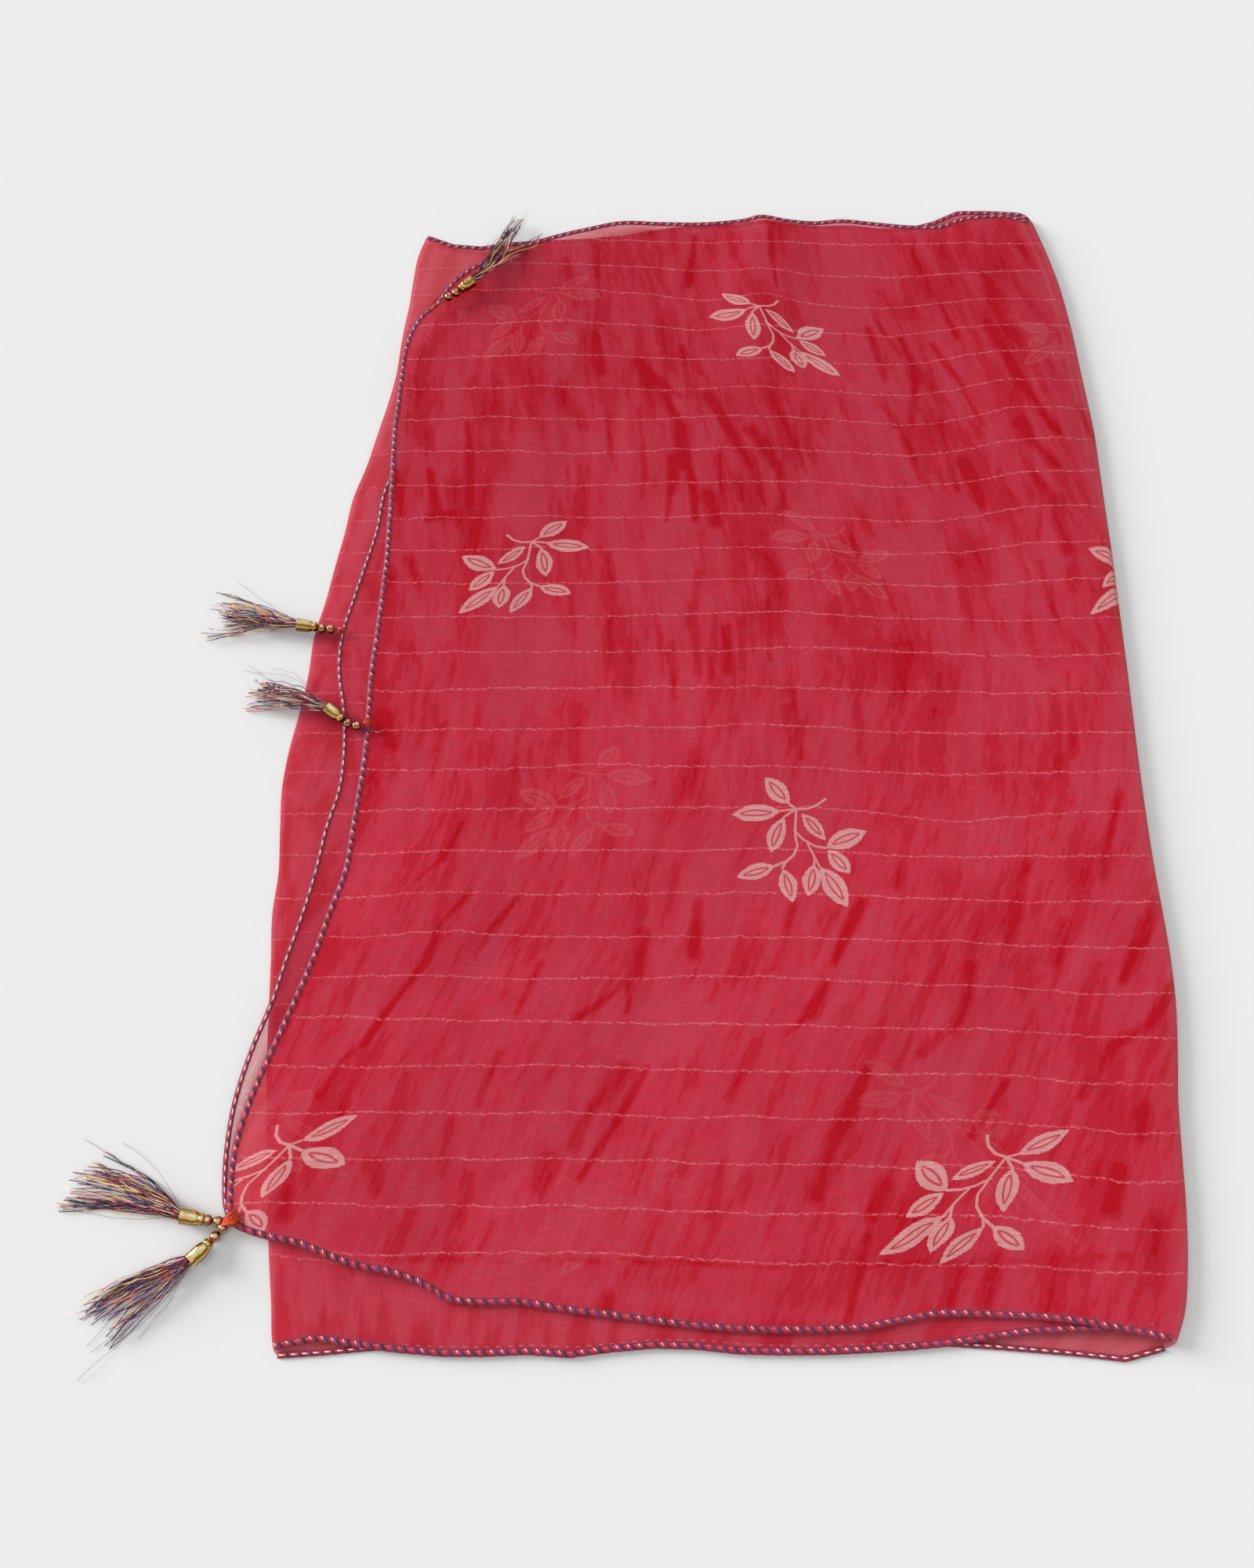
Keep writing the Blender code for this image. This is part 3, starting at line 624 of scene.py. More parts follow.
# =========================================================== shader helpers
class Tree:
    """Short names for building a node tree."""

    def __init__(self, mat):
        self.t = mat.node_tree

    def node(self, kind, **props):
        n = self.t.nodes.new(kind)
        for k, v in props.items():
            setattr(n, k, v)
        return n

    def put(self, sock, value):
        if isinstance(value, bpy.types.NodeSocket):
            self.t.links.new(value, sock)
        elif isinstance(value, (tuple, list)):
            sock.default_value = tuple(value) if len(value) == len(sock.default_value) else (*value, 1.0)
        else:
            sock.default_value = value

    def math(self, op, a, b=None, c=None, clamp=False):
        n = self.node("ShaderNodeMath", operation=op, use_clamp=clamp)
        for i, v in enumerate((a, b, c)):
            if v is not None:
                self.put(n.inputs[i], v)
        return n.outputs[0]

    def add(self, a, b): return self.math("ADD", a, b)
    def sub(self, a, b): return self.math("SUBTRACT", a, b)
    def mul(self, a, b): return self.math("MULTIPLY", a, b)
    def fma(self, a, b, c): return self.math("MULTIPLY_ADD", a, b, c)
    def max(self, a, b): return self.math("MAXIMUM", a, b)
    def min(self, a, b): return self.math("MINIMUM", a, b)
    def abs(self, a): return self.math("ABSOLUTE", a)

    def vec(self, x, y, z=0.0):
        n = self.node("ShaderNodeCombineXYZ")
        for i, v in enumerate((x, y, z)):
            self.put(n.inputs[i], v)
        return n.outputs[0]

    def split(self, v):
        n = self.node("ShaderNodeSeparateXYZ")
        self.put(n.inputs[0], v)
        return n.outputs

    def vmath(self, op, a, b=None):
        n = self.node("ShaderNodeVectorMath", operation=op)
        self.put(n.inputs[0], a)
        if b is not None:
            self.put(n.inputs[1], b)
        return n.outputs["Value"] if op in ("DOT_PRODUCT", "LENGTH") else n.outputs["Vector"]

    def step(self, v, lo, hi, a=0.0, b=1.0):
        """Smooth step of v from lo to hi, giving a to b."""
        n = self.node("ShaderNodeMapRange", interpolation_type="SMOOTHSTEP")
        for name, x in (("Value", v), ("From Min", lo), ("From Max", hi), ("To Min", a), ("To Max", b)):
            self.put(n.inputs[name], x)
        return n.outputs["Result"]

    def mix(self, fac, a, b, blend="MIX"):
        n = self.node("ShaderNodeMix", data_type="RGBA", blend_type=blend)
        self.put(n.inputs[0], fac)
        self.put(n.inputs[6], a)
        self.put(n.inputs[7], b)
        return n.outputs[2]

    def noise(self, vector, scale=1.0, detail=2.0, rough=0.5, distortion=0.0, kind="3D"):
        n = self.node("ShaderNodeTexNoise", noise_dimensions=kind)
        self.put(n.inputs["Vector"], vector)
        self.put(n.inputs["Scale"], scale)
        self.put(n.inputs["Detail"], detail)
        self.put(n.inputs["Roughness"], rough)
        self.put(n.inputs["Distortion"], distortion)
        return n.outputs["Fac"]

    def attribute(self, name):
        return self.node("ShaderNodeAttribute", attribute_name=name)


def fresh(name):
    m = bpy.data.materials.new(name)
    m.use_nodes = True
    return m, Tree(m), m.node_tree.nodes["Principled BSDF"], m.node_tree.nodes["Material Output"]


# ======================================================== the cloth's finish
# The sprig, in millimetres from its middle: ten leaves (base, tip, width) and
# its stems as short arcs through three points.
Leaf = namedtuple("Leaf", "bx by tx ty wide")
SPRIG = [
    Leaf(-6, 21, -20, 38, 10.0),
    Leaf(-11, 17, -39, 15, 10.0),
    Leaf(-9, 13, -18, -9, 9.0),
    Leaf(1, 15, 15, 1, 7.5),
    Leaf(-16, -16, -38, -23, 8.0),
    Leaf(-12, -17, -5, -38, 9.0),
    Leaf(14, -4, 39, 8, 10.0),
    Leaf(15, -5, 26, -20, 9.5),
    Leaf(6, -15, 3, -34, 9.5),
    Leaf(9, -16, 26, -39, 11.0),
]
Stem = namedtuple("Stem", "x0 y0 x1 y1 x2 y2")
STEMS = [
    Stem(15, 26, 8, 17, -2, 18),
    Stem(-2, 18, -6, 19, -11, 17),
    Stem(-2, 18, -6, 16, -9, 13),
    Stem(-2, 18, -5, 19, -6, 21),
    Stem(-2, 18, -3, 4, -2, -4),
    Stem(-2, -4, -5, -13, -16, -16),
    Stem(-3, 5, 4, -4, 14, -4),
    Stem(4, -2, 6, -8, 9, -16),
    Stem(7, -10, 8, -12, 6, -15),
    Stem(-10, -14, -12, -15, -12, -17),
]

# Dark marks where the leaves press together: two ends in pixels, the widths
# there in millimetres, and how dark each is.
Press = namedtuple("Press", "u0 v0 u1 v1 w0 w1 deep")
PRESSES = [
    # far left and middle
    Press(887, 298, 878, 362, 4, 6, 0.90), Press(982, 275, 986, 330, 4, 4, 1.00),
    Press(986, 330, 990, 363, 4, 2, 0.90), Press(760, 310, 764, 350, 5, 4, 0.50),
    Press(757, 425, 768, 475, 6, 7, 0.60), Press(722, 330, 736, 392, 4, 5, 0.55),
    Press(812, 460, 845, 490, 6, 8, 0.70), Press(845, 490, 868, 505, 6, 4, 0.65),
    Press(845, 500, 868, 545, 4, 8, 0.90), Press(868, 545, 872, 590, 12, 9, 1.00),
    Press(862, 585, 856, 625, 8, 8, 0.90), Press(855, 610, 851, 662, 5, 3, 0.85),
    Press(878, 570, 888, 660, 4, 5, 0.95), Press(905, 505, 930, 545, 9, 6, 0.95),
    Press(930, 545, 958, 590, 6, 9, 0.95), Press(958, 590, 975, 640, 8, 5, 0.75),
    Press(955, 548, 972, 560, 8, 6, 0.90), Press(972, 560, 988, 592, 8, 6, 0.95),
    Press(993, 590, 1000, 645, 5, 6, 0.85), Press(985, 500, 1015, 570, 3, 3, 0.65),
    Press(1015, 560, 1028, 600, 4, 2, 0.75), Press(903, 628, 914, 664, 8, 8, 0.95),
    Press(917, 580, 922, 625, 4, 3, 0.65), Press(816, 520, 824, 610, 4, 4, 0.45),
    Press(775, 530, 785, 600, 4, 4, 0.45), Press(715, 500, 745, 540, 14, 12, 0.40),
    Press(870, 440, 895, 475, 4, 3, 0.55), Press(890, 520, 905, 560, 3, 3, 0.55),
    # left edge
    Press(545, 545, 548, 575, 4, 5, 0.55), Press(548, 600, 557, 655, 5, 8, 1.00),
    Press(548, 660, 572, 655, 7, 7, 0.95), Press(598, 540, 600, 640, 4, 6, 0.80),
    Press(533, 445, 538, 560, 10, 10, 0.40), Press(503, 605, 512, 655, 10, 6, 0.75),
    Press(522, 712, 535, 745, 8, 6, 0.55), Press(490, 915, 500, 950, 10, 8, 0.65),
    Press(566, 925, 550, 990, 5, 5, 0.50),
    # far right
    Press(1108, 418, 1130, 482, 5, 5, 0.90), Press(1110, 395, 1150, 450, 3, 4, 0.65),
    Press(1077, 415, 1078, 442, 4, 3, 0.60), Press(1150, 430, 1173, 475, 4, 5, 0.80),
    Press(1168, 470, 1165, 540, 6, 4, 0.65), Press(1163, 315, 1190, 375, 3, 5, 0.65),
    Press(1198, 385, 1222, 430, 3, 4, 0.75), Press(1190, 438, 1222, 480, 5, 4, 0.75),
    Press(1222, 480, 1255, 541, 4, 3, 0.75), Press(1260, 412, 1282, 452, 4, 6, 1.00),
    Press(1282, 452, 1308, 495, 6, 7, 1.00), Press(1308, 495, 1348, 552, 6, 5, 1.00),
    Press(1302, 540, 1322, 568, 9, 7, 0.95), Press(1322, 568, 1350, 595, 6, 4, 0.95),
    Press(1322, 605, 1348, 645, 5, 10, 0.95), Press(1348, 645, 1360, 700, 10, 8, 0.90),
    Press(1232, 588, 1250, 635, 11, 10, 0.85), Press(1250, 635, 1262, 662, 6, 3, 0.65),
    Press(1200, 535, 1222, 625, 4, 4, 0.65), Press(1155, 555, 1175, 608, 7, 4, 0.60),
    Press(1100, 640, 1112, 680, 4, 5, 0.50), Press(1300, 310, 1325, 350, 7, 5, 0.60),
    Press(1120, 505, 1150, 545, 6, 6, 0.50), Press(1275, 600, 1300, 650, 4, 4, 0.55),
    Press(1375, 520, 1395, 560, 4, 4, 0.60), Press(1330, 640, 1325, 690, 4, 4, 0.50),
    # middle band
    Press(890, 728, 884, 800, 5, 6, 0.60), Press(842, 800, 846, 860, 4, 4, 0.55),
    Press(857, 820, 862, 890, 5, 4, 0.55), Press(885, 770, 890, 860, 5, 5, 0.60),
    Press(912, 780, 908, 860, 4, 5, 0.60), Press(926, 800, 930, 855, 7, 6, 0.90),
    Press(945, 790, 950, 850, 5, 4, 0.55), Press(980, 760, 984, 840, 4, 4, 0.50),
    Press(1012, 880, 1022, 965, 4, 4, 0.65), Press(1002, 900, 1010, 950, 5, 3, 0.55),
    Press(1115, 845, 1255, 850, 34, 44, 0.30), Press(1258, 830, 1262, 885, 8, 6, 0.65),
    Press(1328, 715, 1348, 790, 5, 5, 0.65), Press(1128, 740, 1142, 775, 5, 4, 0.55),
    Press(775, 790, 778, 850, 5, 5, 0.60), Press(776, 705, 780, 735, 5, 5, 0.65),
    Press(658, 790, 662, 825, 5, 5, 0.45), Press(885, 965, 880, 1005, 16, 16, 0.45),
    Press(1345, 880, 1350, 975, 6, 6, 0.55), Press(1365, 860, 1372, 960, 6, 6, 0.50),
    Press(1270, 940, 1272, 1000, 12, 12, 0.45), Press(1095, 900, 1100, 970, 6, 6, 0.40),
    Press(735, 900, 730, 960, 8, 8, 0.40), Press(620, 850, 615, 920, 8, 8, 0.40),
    # lower left
    Press(590, 1050, 566, 1095, 3, 5, 0.75), Press(566, 1095, 530, 1125, 3, 2, 0.55),
    Press(600, 1140, 560, 1180, 4, 3, 0.65), Press(560, 1180, 545, 1225, 3, 4, 0.95),
    Press(545, 1225, 505, 1275, 4, 4, 0.90), Press(505, 1275, 465, 1330, 4, 4, 1.00),
    Press(465, 1330, 440, 1350, 4, 1, 0.65), Press(660, 1145, 625, 1190, 3, 5, 0.80),
    Press(625, 1190, 605, 1225, 5, 2, 0.65), Press(820, 1188, 812, 1235, 7, 9, 0.95),
    Press(812, 1235, 785, 1265, 5, 4, 0.75), Press(785, 1265, 735, 1300, 4, 4, 0.75),
    Press(803, 1240, 801, 1290, 3, 2, 0.80), Press(890, 1150, 886, 1215, 5, 8, 0.85),
    Press(918, 1250, 905, 1278, 3, 4, 0.65), Press(825, 1360, 805, 1400, 4, 5, 0.90),
    Press(805, 1400, 775, 1450, 4, 5, 0.95), Press(775, 1450, 738, 1505, 5, 4, 0.90),
    Press(795, 1365, 755, 1410, 11, 9, 0.75), Press(755, 1410, 730, 1460, 6, 8, 0.90),
    Press(700, 1480, 685, 1508, 13, 12, 0.80), Press(370, 1505, 362, 1550, 6, 9, 0.65),
    Press(525, 1550, 500, 1600, 11, 9, 0.65), Press(478, 1490, 482, 1515, 10, 8, 0.65),
    Press(628, 1560, 610, 1600, 6, 5, 0.45), Press(576, 1430, 562, 1495, 6, 6, 0.55),
    Press(435, 1355, 405, 1400, 4, 5, 0.55), Press(774, 1655, 773, 1682, 8, 6, 0.85),
    Press(520, 1370, 505, 1420, 6, 5, 0.45), Press(640, 1340, 610, 1410, 6, 5, 0.50),
    Press(690, 1230, 660, 1290, 5, 5, 0.50), Press(600, 1500, 585, 1560, 7, 6, 0.45),
    # lower right
    Press(1100, 1150, 1078, 1195, 8, 6, 0.75), Press(1078, 1195, 1064, 1228, 5, 4, 1.00),
    Press(1055, 1255, 1035, 1290, 4, 9, 0.85), Press(1035, 1290, 1005, 1318, 6, 2, 0.75),
    Press(1012, 1155, 990, 1235, 6, 5, 0.50), Press(1240, 1235, 1235, 1275, 8, 6, 0.80),
    Press(1235, 1275, 1215, 1315, 5, 4, 0.55), Press(1198, 1320, 1175, 1345, 8, 6, 0.85),
    Press(1108, 1365, 1090, 1405, 5, 7, 0.85), Press(1090, 1405, 1065, 1455, 9, 8, 0.90),
    Press(1065, 1455, 1040, 1525, 8, 8, 0.75), Press(1285, 1380, 1240, 1450, 3, 4, 0.75),
    Press(1310, 1105, 1285, 1200, 9, 7, 0.65), Press(1358, 1180, 1345, 1225, 8, 6, 0.55),
    Press(1480, 1150, 1455, 1200, 8, 9, 0.85), Press(1455, 1200, 1432, 1250, 8, 6, 1.00),
    Press(1495, 1260, 1468, 1305, 6, 6, 0.95), Press(1468, 1305, 1420, 1335, 6, 6, 0.75),
    Press(1420, 1335, 1380, 1400, 8, 5, 0.55), Press(1428, 1010, 1405, 1120, 6, 4, 0.75),
    Press(1430, 1495, 1418, 1545, 9, 9, 0.80), Press(1458, 1415, 1455, 1445, 10, 10, 0.55),
    Press(1345, 1610, 1335, 1670, 14, 14, 0.55), Press(1275, 1600, 1258, 1665, 8, 9, 0.70),
    Press(1225, 1620, 1205, 1675, 7, 8, 0.60), Press(1130, 1510, 1112, 1550, 9, 7, 0.60),
    Press(1110, 1580, 1080, 1690, 4, 4, 0.55), Press(1160, 1060, 1145, 1130, 7, 6, 0.50),
    Press(965, 1330, 930, 1400, 6, 6, 0.50), Press(1400, 1230, 1380, 1290, 6, 6, 0.45),
    Press(500, 1606, 760, 1608, 2, 2, 0.50), Press(760, 1608, 1000, 1615, 2, 2, 0.55),
    Press(1000, 1615, 1180, 1612, 2, 2, 0.50), Press(1180, 1612, 1440, 1602, 2, 2, 0.45),
    Press(1480, 1560, 1475, 1640, 9, 10, 0.45), Press(930, 1480, 905, 1550, 7, 6, 0.45),
]

# Paler places, where air lies under the front leaf.
PALES = [
    Press(1290, 850, 1350, 870, 40, 40, 0.8), Press(1060, 560, 1085, 640, 26, 30, 0.6),
    Press(700, 560, 690, 630, 40, 40, 0.5), Press(660, 620, 655, 650, 20, 20, 0.5),
    Press(1180, 640, 1185, 700, 26, 26, 0.6), Press(620, 1250, 590, 1330, 30, 26, 0.6),
    Press(930, 1280, 880, 1330, 30, 24, 0.6), Press(880, 1120, 1000, 1130, 22, 22, 0.4),
    Press(1150, 1240, 1120, 1290, 26, 24, 0.6), Press(870, 1400, 830, 1460, 20, 18, 0.5),
    Press(1330, 425, 1350, 445, 26, 26, 0.7), Press(950, 1440, 930, 1500, 26, 20, 0.5),
    Press(1300, 1290, 1350, 1270, 22, 22, 0.4), Press(500, 1200, 470, 1260, 20, 18, 0.4),
    Press(680, 1640, 1080, 1682, 10, 12, 0.6), Press(560, 880, 700, 860, 16, 14, 0.3),
    Press(1030, 824, 1200, 830, 4, 5, 0.8), Press(1200, 830, 1360, 822, 5, 4, 0.7),
    Press(737, 1532, 794, 1530, 3, 4, 0.8), Press(794, 1530, 875, 1556, 4, 3, 0.8),
]


def layers(x, y, seed, scales, share):
    """Noise of several sizes added up."""
    out = 0.0
    for k, sc in enumerate(scales):
        out = out + share[k] * wobble(x, y, sc, seed + 13 * k)
    return out


def press_field(co, code):
    """How closely the leaves lie together, with the grain's own coordinates."""
    x, y = co[..., 0], co[..., 1]
    q = x - lean(x, y)
    q = q + 5.0 * wobble(x, y, 70.0, 21) + 2.0 * wobble(x, y, 26.0, 22)
    broad = layers(q * 2.6, y, 31, (92.0, 46.0, 24.0), (0.55, 0.35, 0.2))
    thin = layers(q * 5.0, y, 71, (48.0, 24.0), (0.42, 0.26))
    calm = smooth((y + 40.0) / 160.0)
    out = (0.46 + 0.16 * calm) * broad + (0.50 + 0.05 * calm) * thin - 0.05 + 0.03 * calm

    def marks(rows, spread):
        laid = np.zeros(x.shape)
        for p in rows:
            (ax, ay), (bx, by) = at(p.u0, p.v0), at(p.u1, p.v1)
            ux, uy = bx - ax, by - ay
            t = ((x - ax) * ux + (y - ay) * uy) / (ux * ux + uy * uy)
            t = np.clip(t, 0.0, 1.0)
            d = np.hypot(x - ax - t * ux, y - ay - t * uy)
            half = 0.5 * (p.w0 + (p.w1 - p.w0) * t)
            laid = np.maximum(laid, p.deep * smooth(1.1 - spread * d / np.maximum(half, 1.1)))
        return laid

    out = out + 0.60 * marks(PRESSES, 0.66) - 0.22 * marks(PALES, 0.8)
    return np.where(code == 1, out, 0.4 * out), q


def cloth_material(name, sprigs, plain_back):
    """Sheer crimson cloth. sprigs adds the printed sprig; plain_back is the
    same cloth in the hidden leaves, without the pressed marks."""
    m, g, bsdf, out = fresh(name)
    s, t, code = g.split(g.attribute("weave").outputs["Vector"])

    # ---- thin broken slub stripes
    idx = g.math("ROUND", g.mul(t, 1 / STRIPE))
    fine = g.noise(g.vec(g.mul(s, 1 / 3.6), g.mul(idx, 5.3)), 1.0, 1.0, 0.55, kind="2D")
    gaps = g.noise(g.vec(g.mul(s, 1 / 2.4), g.fma(idx, 2.1, g.mul(t, 0.9))), 1.0, 2.0, 0.8, kind="2D")
    d = g.abs(g.sub(g.fma(fine, 2.0, g.sub(t, 1.0)), g.mul(idx, STRIPE)))
    line = g.mul(g.step(d, 0.15, 0.80, 1.0, 0.0), g.step(gaps, 0.38, 0.66, 0.04, 1.0))
    stripe = g.mul(line, g.math("GREATER_THAN", idx, 0.5))

    # ---- threads
    warp = g.noise(g.vec(g.mul(s, 1 / 0.6), g.mul(t, 1 / 9.0)), 1.0, 0.0, kind="2D")
    weft = g.noise(g.vec(g.mul(s, 1 / 12.0), g.mul(t, 1 / 0.6)), 1.0, 0.0, kind="2D")
    thread = g.fma(warp, 0.45, g.fma(weft, 0.75, -0.6))

    light = LIGHT_RED
    if plain_back:
        blotch = g.noise(g.vec(g.mul(s, 1 / 16.0), g.mul(t, 1 / 44.0)), 1.0, 3.0, 0.6, kind="2D")
        col = g.mix(g.step(blotch, 0.36, 0.60), BACK_DEEP, BACK_PALE)
    else:
        # ---- marks where the leaves press together
        f, q, r = g.split(g.attribute("press").outputs["Vector"])
        narrow = g.noise(g.vec(g.mul(q, 1 / 4.2), g.mul(r, 1 / 20.0)), 1.0, 3.0, 0.74, kind="2D")
        field = g.add(g.fma(narrow, 0.76, -0.38), g.fma(thread, 0.20, f))
        dark = g.step(field, 0.035, 0.105)
        deep = g.step(field, 0.285, 0.335)
        airy = g.step(field, -0.20, -0.07, 1.0, 0.0)
        col = g.mix(dark, light, MID_RED)
        col = g.mix(airy, col, AIRY_RED)
        col = g.mix(deep, col, DEEP_RED)
    tone = g.fma(thread, 0.26, 1.0)
    if not plain_back:
        # painted light falloff: the front leaf is painted a little lighter at its near end and darker towards its far
        # end, in place of the lamp's light falling off
        tone = g.mul(tone, g.step(r, -180.0, 260.0, 1.03, 0.91))
    col = g.mix(1.0, col, g.vec(tone, tone, tone), "MULTIPLY")
    col = g.mix(g.mul(stripe, 0.42 if plain_back else 0.58), col, SLUB)
    cover = g.fma(thread, 0.08, COVER)
    if plain_back:
        # the lowest leaf is airier at its far edge, the second at its near corner
        low = g.mul(g.math("GREATER_THAN", code, 3.5), g.step(t, 350.0, 620.0, 0.04, -0.40))
        cover = g.add(cover, g.add(low, g.mul(g.math("LESS_THAN", code, 2.5), g.step(t, 110.0, 220.0, -0.28, 0.0))))
    cover = g.fma(stripe, 0.20, cover)

    if sprigs:
        tops = [0.5 * (ROWS[k].t + ROWS[k + 1].t) for k in range(3)]
        below = [g.math("LESS_THAN", t, v) for v in tops]

        def pick(key):
            r = [getattr(row, key) for row in ROWS]
            v = g.fma(below[0], r[1] - r[0], r[0])
            v = g.fma(below[1], r[2] - r[1], v)
            return g.fma(below[2], r[3] - r[2], v)

        v = g.sub(t, pick("t"))
        u = g.math("WRAP", g.sub(s, pick("s")), REPEAT / 2, -REPEAT / 2)
        u = g.mul(g.sub(u, g.mul(v, pick("shear"))), pick("way"))
        v = g.sub(g.math("DIVIDE", v, pick("tall")), g.mul(u, pick("rise")))
        p = g.vec(u, v, 0.0)
        fill = ring = stem = None
        for lf in SPRIG:
            dx, dy = lf.tx - lf.bx, lf.ty - lf.by
            n = math.hypot(dx, dy)
            q0 = g.vmath("SUBTRACT", p, (lf.bx, lf.by, 0.0))
            a = g.vmath("DOT_PRODUCT", q0, (dx / n / n, dy / n / n, 0.0))
            c = g.abs(g.vmath("DOT_PRODUCT", q0, (-dy / n, dx / n, 0.0)))
            hump = g.mul(g.mul(a, g.sub(1.0, a)), 4.0)
            f0 = g.fma(hump, lf.wide * 0.56, g.mul(c, -1.0))
            # a slim lens inside the leaf, drawn as a dark outline
            hump2 = g.fma(hump, 2.3, -1.3)
            f2 = g.abs(g.fma(hump2, lf.wide * 0.17, g.mul(c, -1.0)))
            r0 = g.mul(g.step(f2, 0.30, 0.75, 1.0, 0.0), g.math("GREATER_THAN", hump2, 0.0))
            fill = f0 if fill is None else g.max(fill, f0)
            ring = r0 if ring is None else g.max(ring, r0)
        for st_ in STEMS:
            # a quadratic arc, as short straight runs
            last = None
            runs = 3 if math.hypot(st_.x2 - st_.x0, st_.y2 - st_.y0) > 12 else 1
            for k in range(runs + 1):
                e = k / runs
                qx = (1 - e)**2 * st_.x0 + 2 * e * (1 - e) * st_.x1 + e * e * st_.x2
                qy = (1 - e)**2 * st_.y0 + 2 * e * (1 - e) * st_.y1 + e * e * st_.y2
                if last is not None:
                    dx, dy = qx - last[0], qy - last[1]
                    n = math.hypot(dx, dy) or 1e-6
                    q0 = g.vmath("SUBTRACT", p, (last[0], last[1], 0.0))
                    a = g.vmath("DOT_PRODUCT", q0, (dx / n, dy / n, 0.0))
                    c = g.vmath("DOT_PRODUCT", q0, (-dy / n, dx / n, 0.0))
                    over_ = g.sub(a, g.min(g.max(a, 0.0), n))
                    dist = g.math("SQRT", g.fma(c, c, g.mul(over_, over_)))
                    stem = dist if stem is None else g.min(stem, dist)
                last = (qx, qy)
        leafy = g.step(g.fma(thread, 1.1, fill), -0.20, 0.40)
        stemmy = g.step(g.fma(thread, 0.5, stem), 0.35, 0.95, 1.0, 0.0)
        sprig = g.max(g.mul(leafy, g.fma(ring, -0.80, 1.0)), stemmy)
        col = g.mix(g.mul(sprig, g.fma(thread, 0.48, 0.76)), col, PRINT)
        cover = g.fma(sprig, 0.2, cover)

    g.put(bsdf.inputs["Base Color"], col)
    g.put(bsdf.inputs["Alpha"], g.math("MINIMUM", cover, 1.0))
    bsdf.inputs["Roughness"].default_value = 0.8
    bsdf.inputs["Specular IOR Level"].default_value = 0.0
    return m


COVER = 0.68
LIGHT_RED = srgb(207, 54, 75)
AIRY_RED = srgb(207, 65, 86)
MID_RED = srgb(200, 38, 56)
BACK_DEEP = srgb(200, 42, 60)
BACK_PALE = srgb(208, 66, 86)
DEEP_RED = srgb(193, 18, 34)
SLUB = srgb(230, 142, 152)
PRINT = srgb(217, 163, 162)

FIELD, QQ = press_field(CO, CODE)
press = cloth.data.attributes.new("press", "FLOAT_VECTOR", "POINT")
press.data.foreach_set("vector", np.stack([FIELD, QQ, CO[..., 1]], -1).astype(np.float32).ravel())


def near_sprig(st):
    """Which points lie close to a printed sprig."""
    s, t = st[..., 0], st[..., 1]
    out = np.zeros(s.shape, bool)
    for r in ROWS:
        v = t - r.t
        u = (s - r.s + REPEAT / 2) % REPEAT - REPEAT / 2 - r.shear * v
        out |= (np.abs(u) < 50.0) & (np.abs(v) < 56.0)
    return out


SPRIGGY = near_sprig(ST)
quad_sprig = SPRIGGY[:-1, :-1] | SPRIGGY[1:, :-1] | SPRIGGY[:-1, 1:] | SPRIGGY[1:, 1:]
hidden = (CODE[:-1, :-1] > 1.5) & (CODE[:-1, 1:] > 1.5)
slots = np.where(hidden, 2, 0) + np.where(quad_sprig, 1, 0)
for mt in (cloth_material("sheer_crimson_cloth", False, False),
           cloth_material("sheer_crimson_cloth_sprigged", True, False),
           cloth_material("sheer_crimson_cloth_back", False, True),
           cloth_material("sheer_crimson_cloth_back_sprigged", True, True)):
    cloth.data.materials.append(mt)
cloth.data.polygons.foreach_set("material_index", slots.astype(np.int32).ravel())
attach(cloth, "root")
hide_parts("front_leaf", "second_leaf", "back_leaves")


# =================================================================== threads
def tubes(name, runs, sides, mats):
    """One mesh of many thin tubes. Each run is (points, radii, colour, slot)."""
    verts, faces, tints, slots = [], [], [], []
    ring = [(math.cos(2 * math.pi * k / sides), math.sin(2 * math.pi * k / sides)) for k in range(sides)]
    for pts, radii, tint, slot in runs:
        pts = np.asarray(pts, float)
        n = len(pts)
        base = len(verts)
        up = np.array([0.0, 0.0, 1.0])
        for i in range(n):
            d = pts[min(i + 1, n - 1)] - pts[max(i - 1, 0)]
            d = d / (np.linalg.norm(d) or 1.0)
            a = np.cross(up, d)
            if np.linalg.norm(a) < 0.15:
                a = np.cross(np.array([1.0, 0.0, 0.0]), d)
            a = a / np.linalg.norm(a)
            b = np.cross(d, a)
            r = radii[i] if hasattr(radii, "__len__") else radii
            rb = r[1] if hasattr(r, "__len__") else r
            ra = r[0] if hasattr(r, "__len__") else r
            for c, s_ in ring:
                verts.append(pts[i] + a * c * ra + b * s_ * rb)
                tints.append(tint[i] if isinstance(tint, list) else tint)
        for i in range(n - 1):
            for k in range(sides):
                k2 = (k + 1) % sides
                faces.append((base + i * sides + k, base + i * sides + k2,
                              base + (i + 1) * sides + k2, base + (i + 1) * sides + k))
                slots.append(slot)
        faces.append(tuple(base + k for k in range(sides))[::-1])
        faces.append(tuple(base + (n - 1) * sides + k for k in range(sides)))
        slots += [slot, slot]
    me = bpy.data.meshes.new(name)
    me.from_pydata([tuple(c * MM for c in v) for v in verts], [], faces)
    me.polygons.foreach_set("material_index", slots)
    col = me.attributes.new("tint", "FLOAT_COLOR", "POINT")
    col.data.foreach_set("color", np.array([(*t, 1.0) for t in tints], np.float32).ravel())
    for mt in mats:
        me.materials.append(mt)
    me.shade_smooth()
    ob = bpy.data.objects.new(name, me)
    bpy.context.scene.collection.objects.link(ob)
    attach(ob, "root")
    return ob


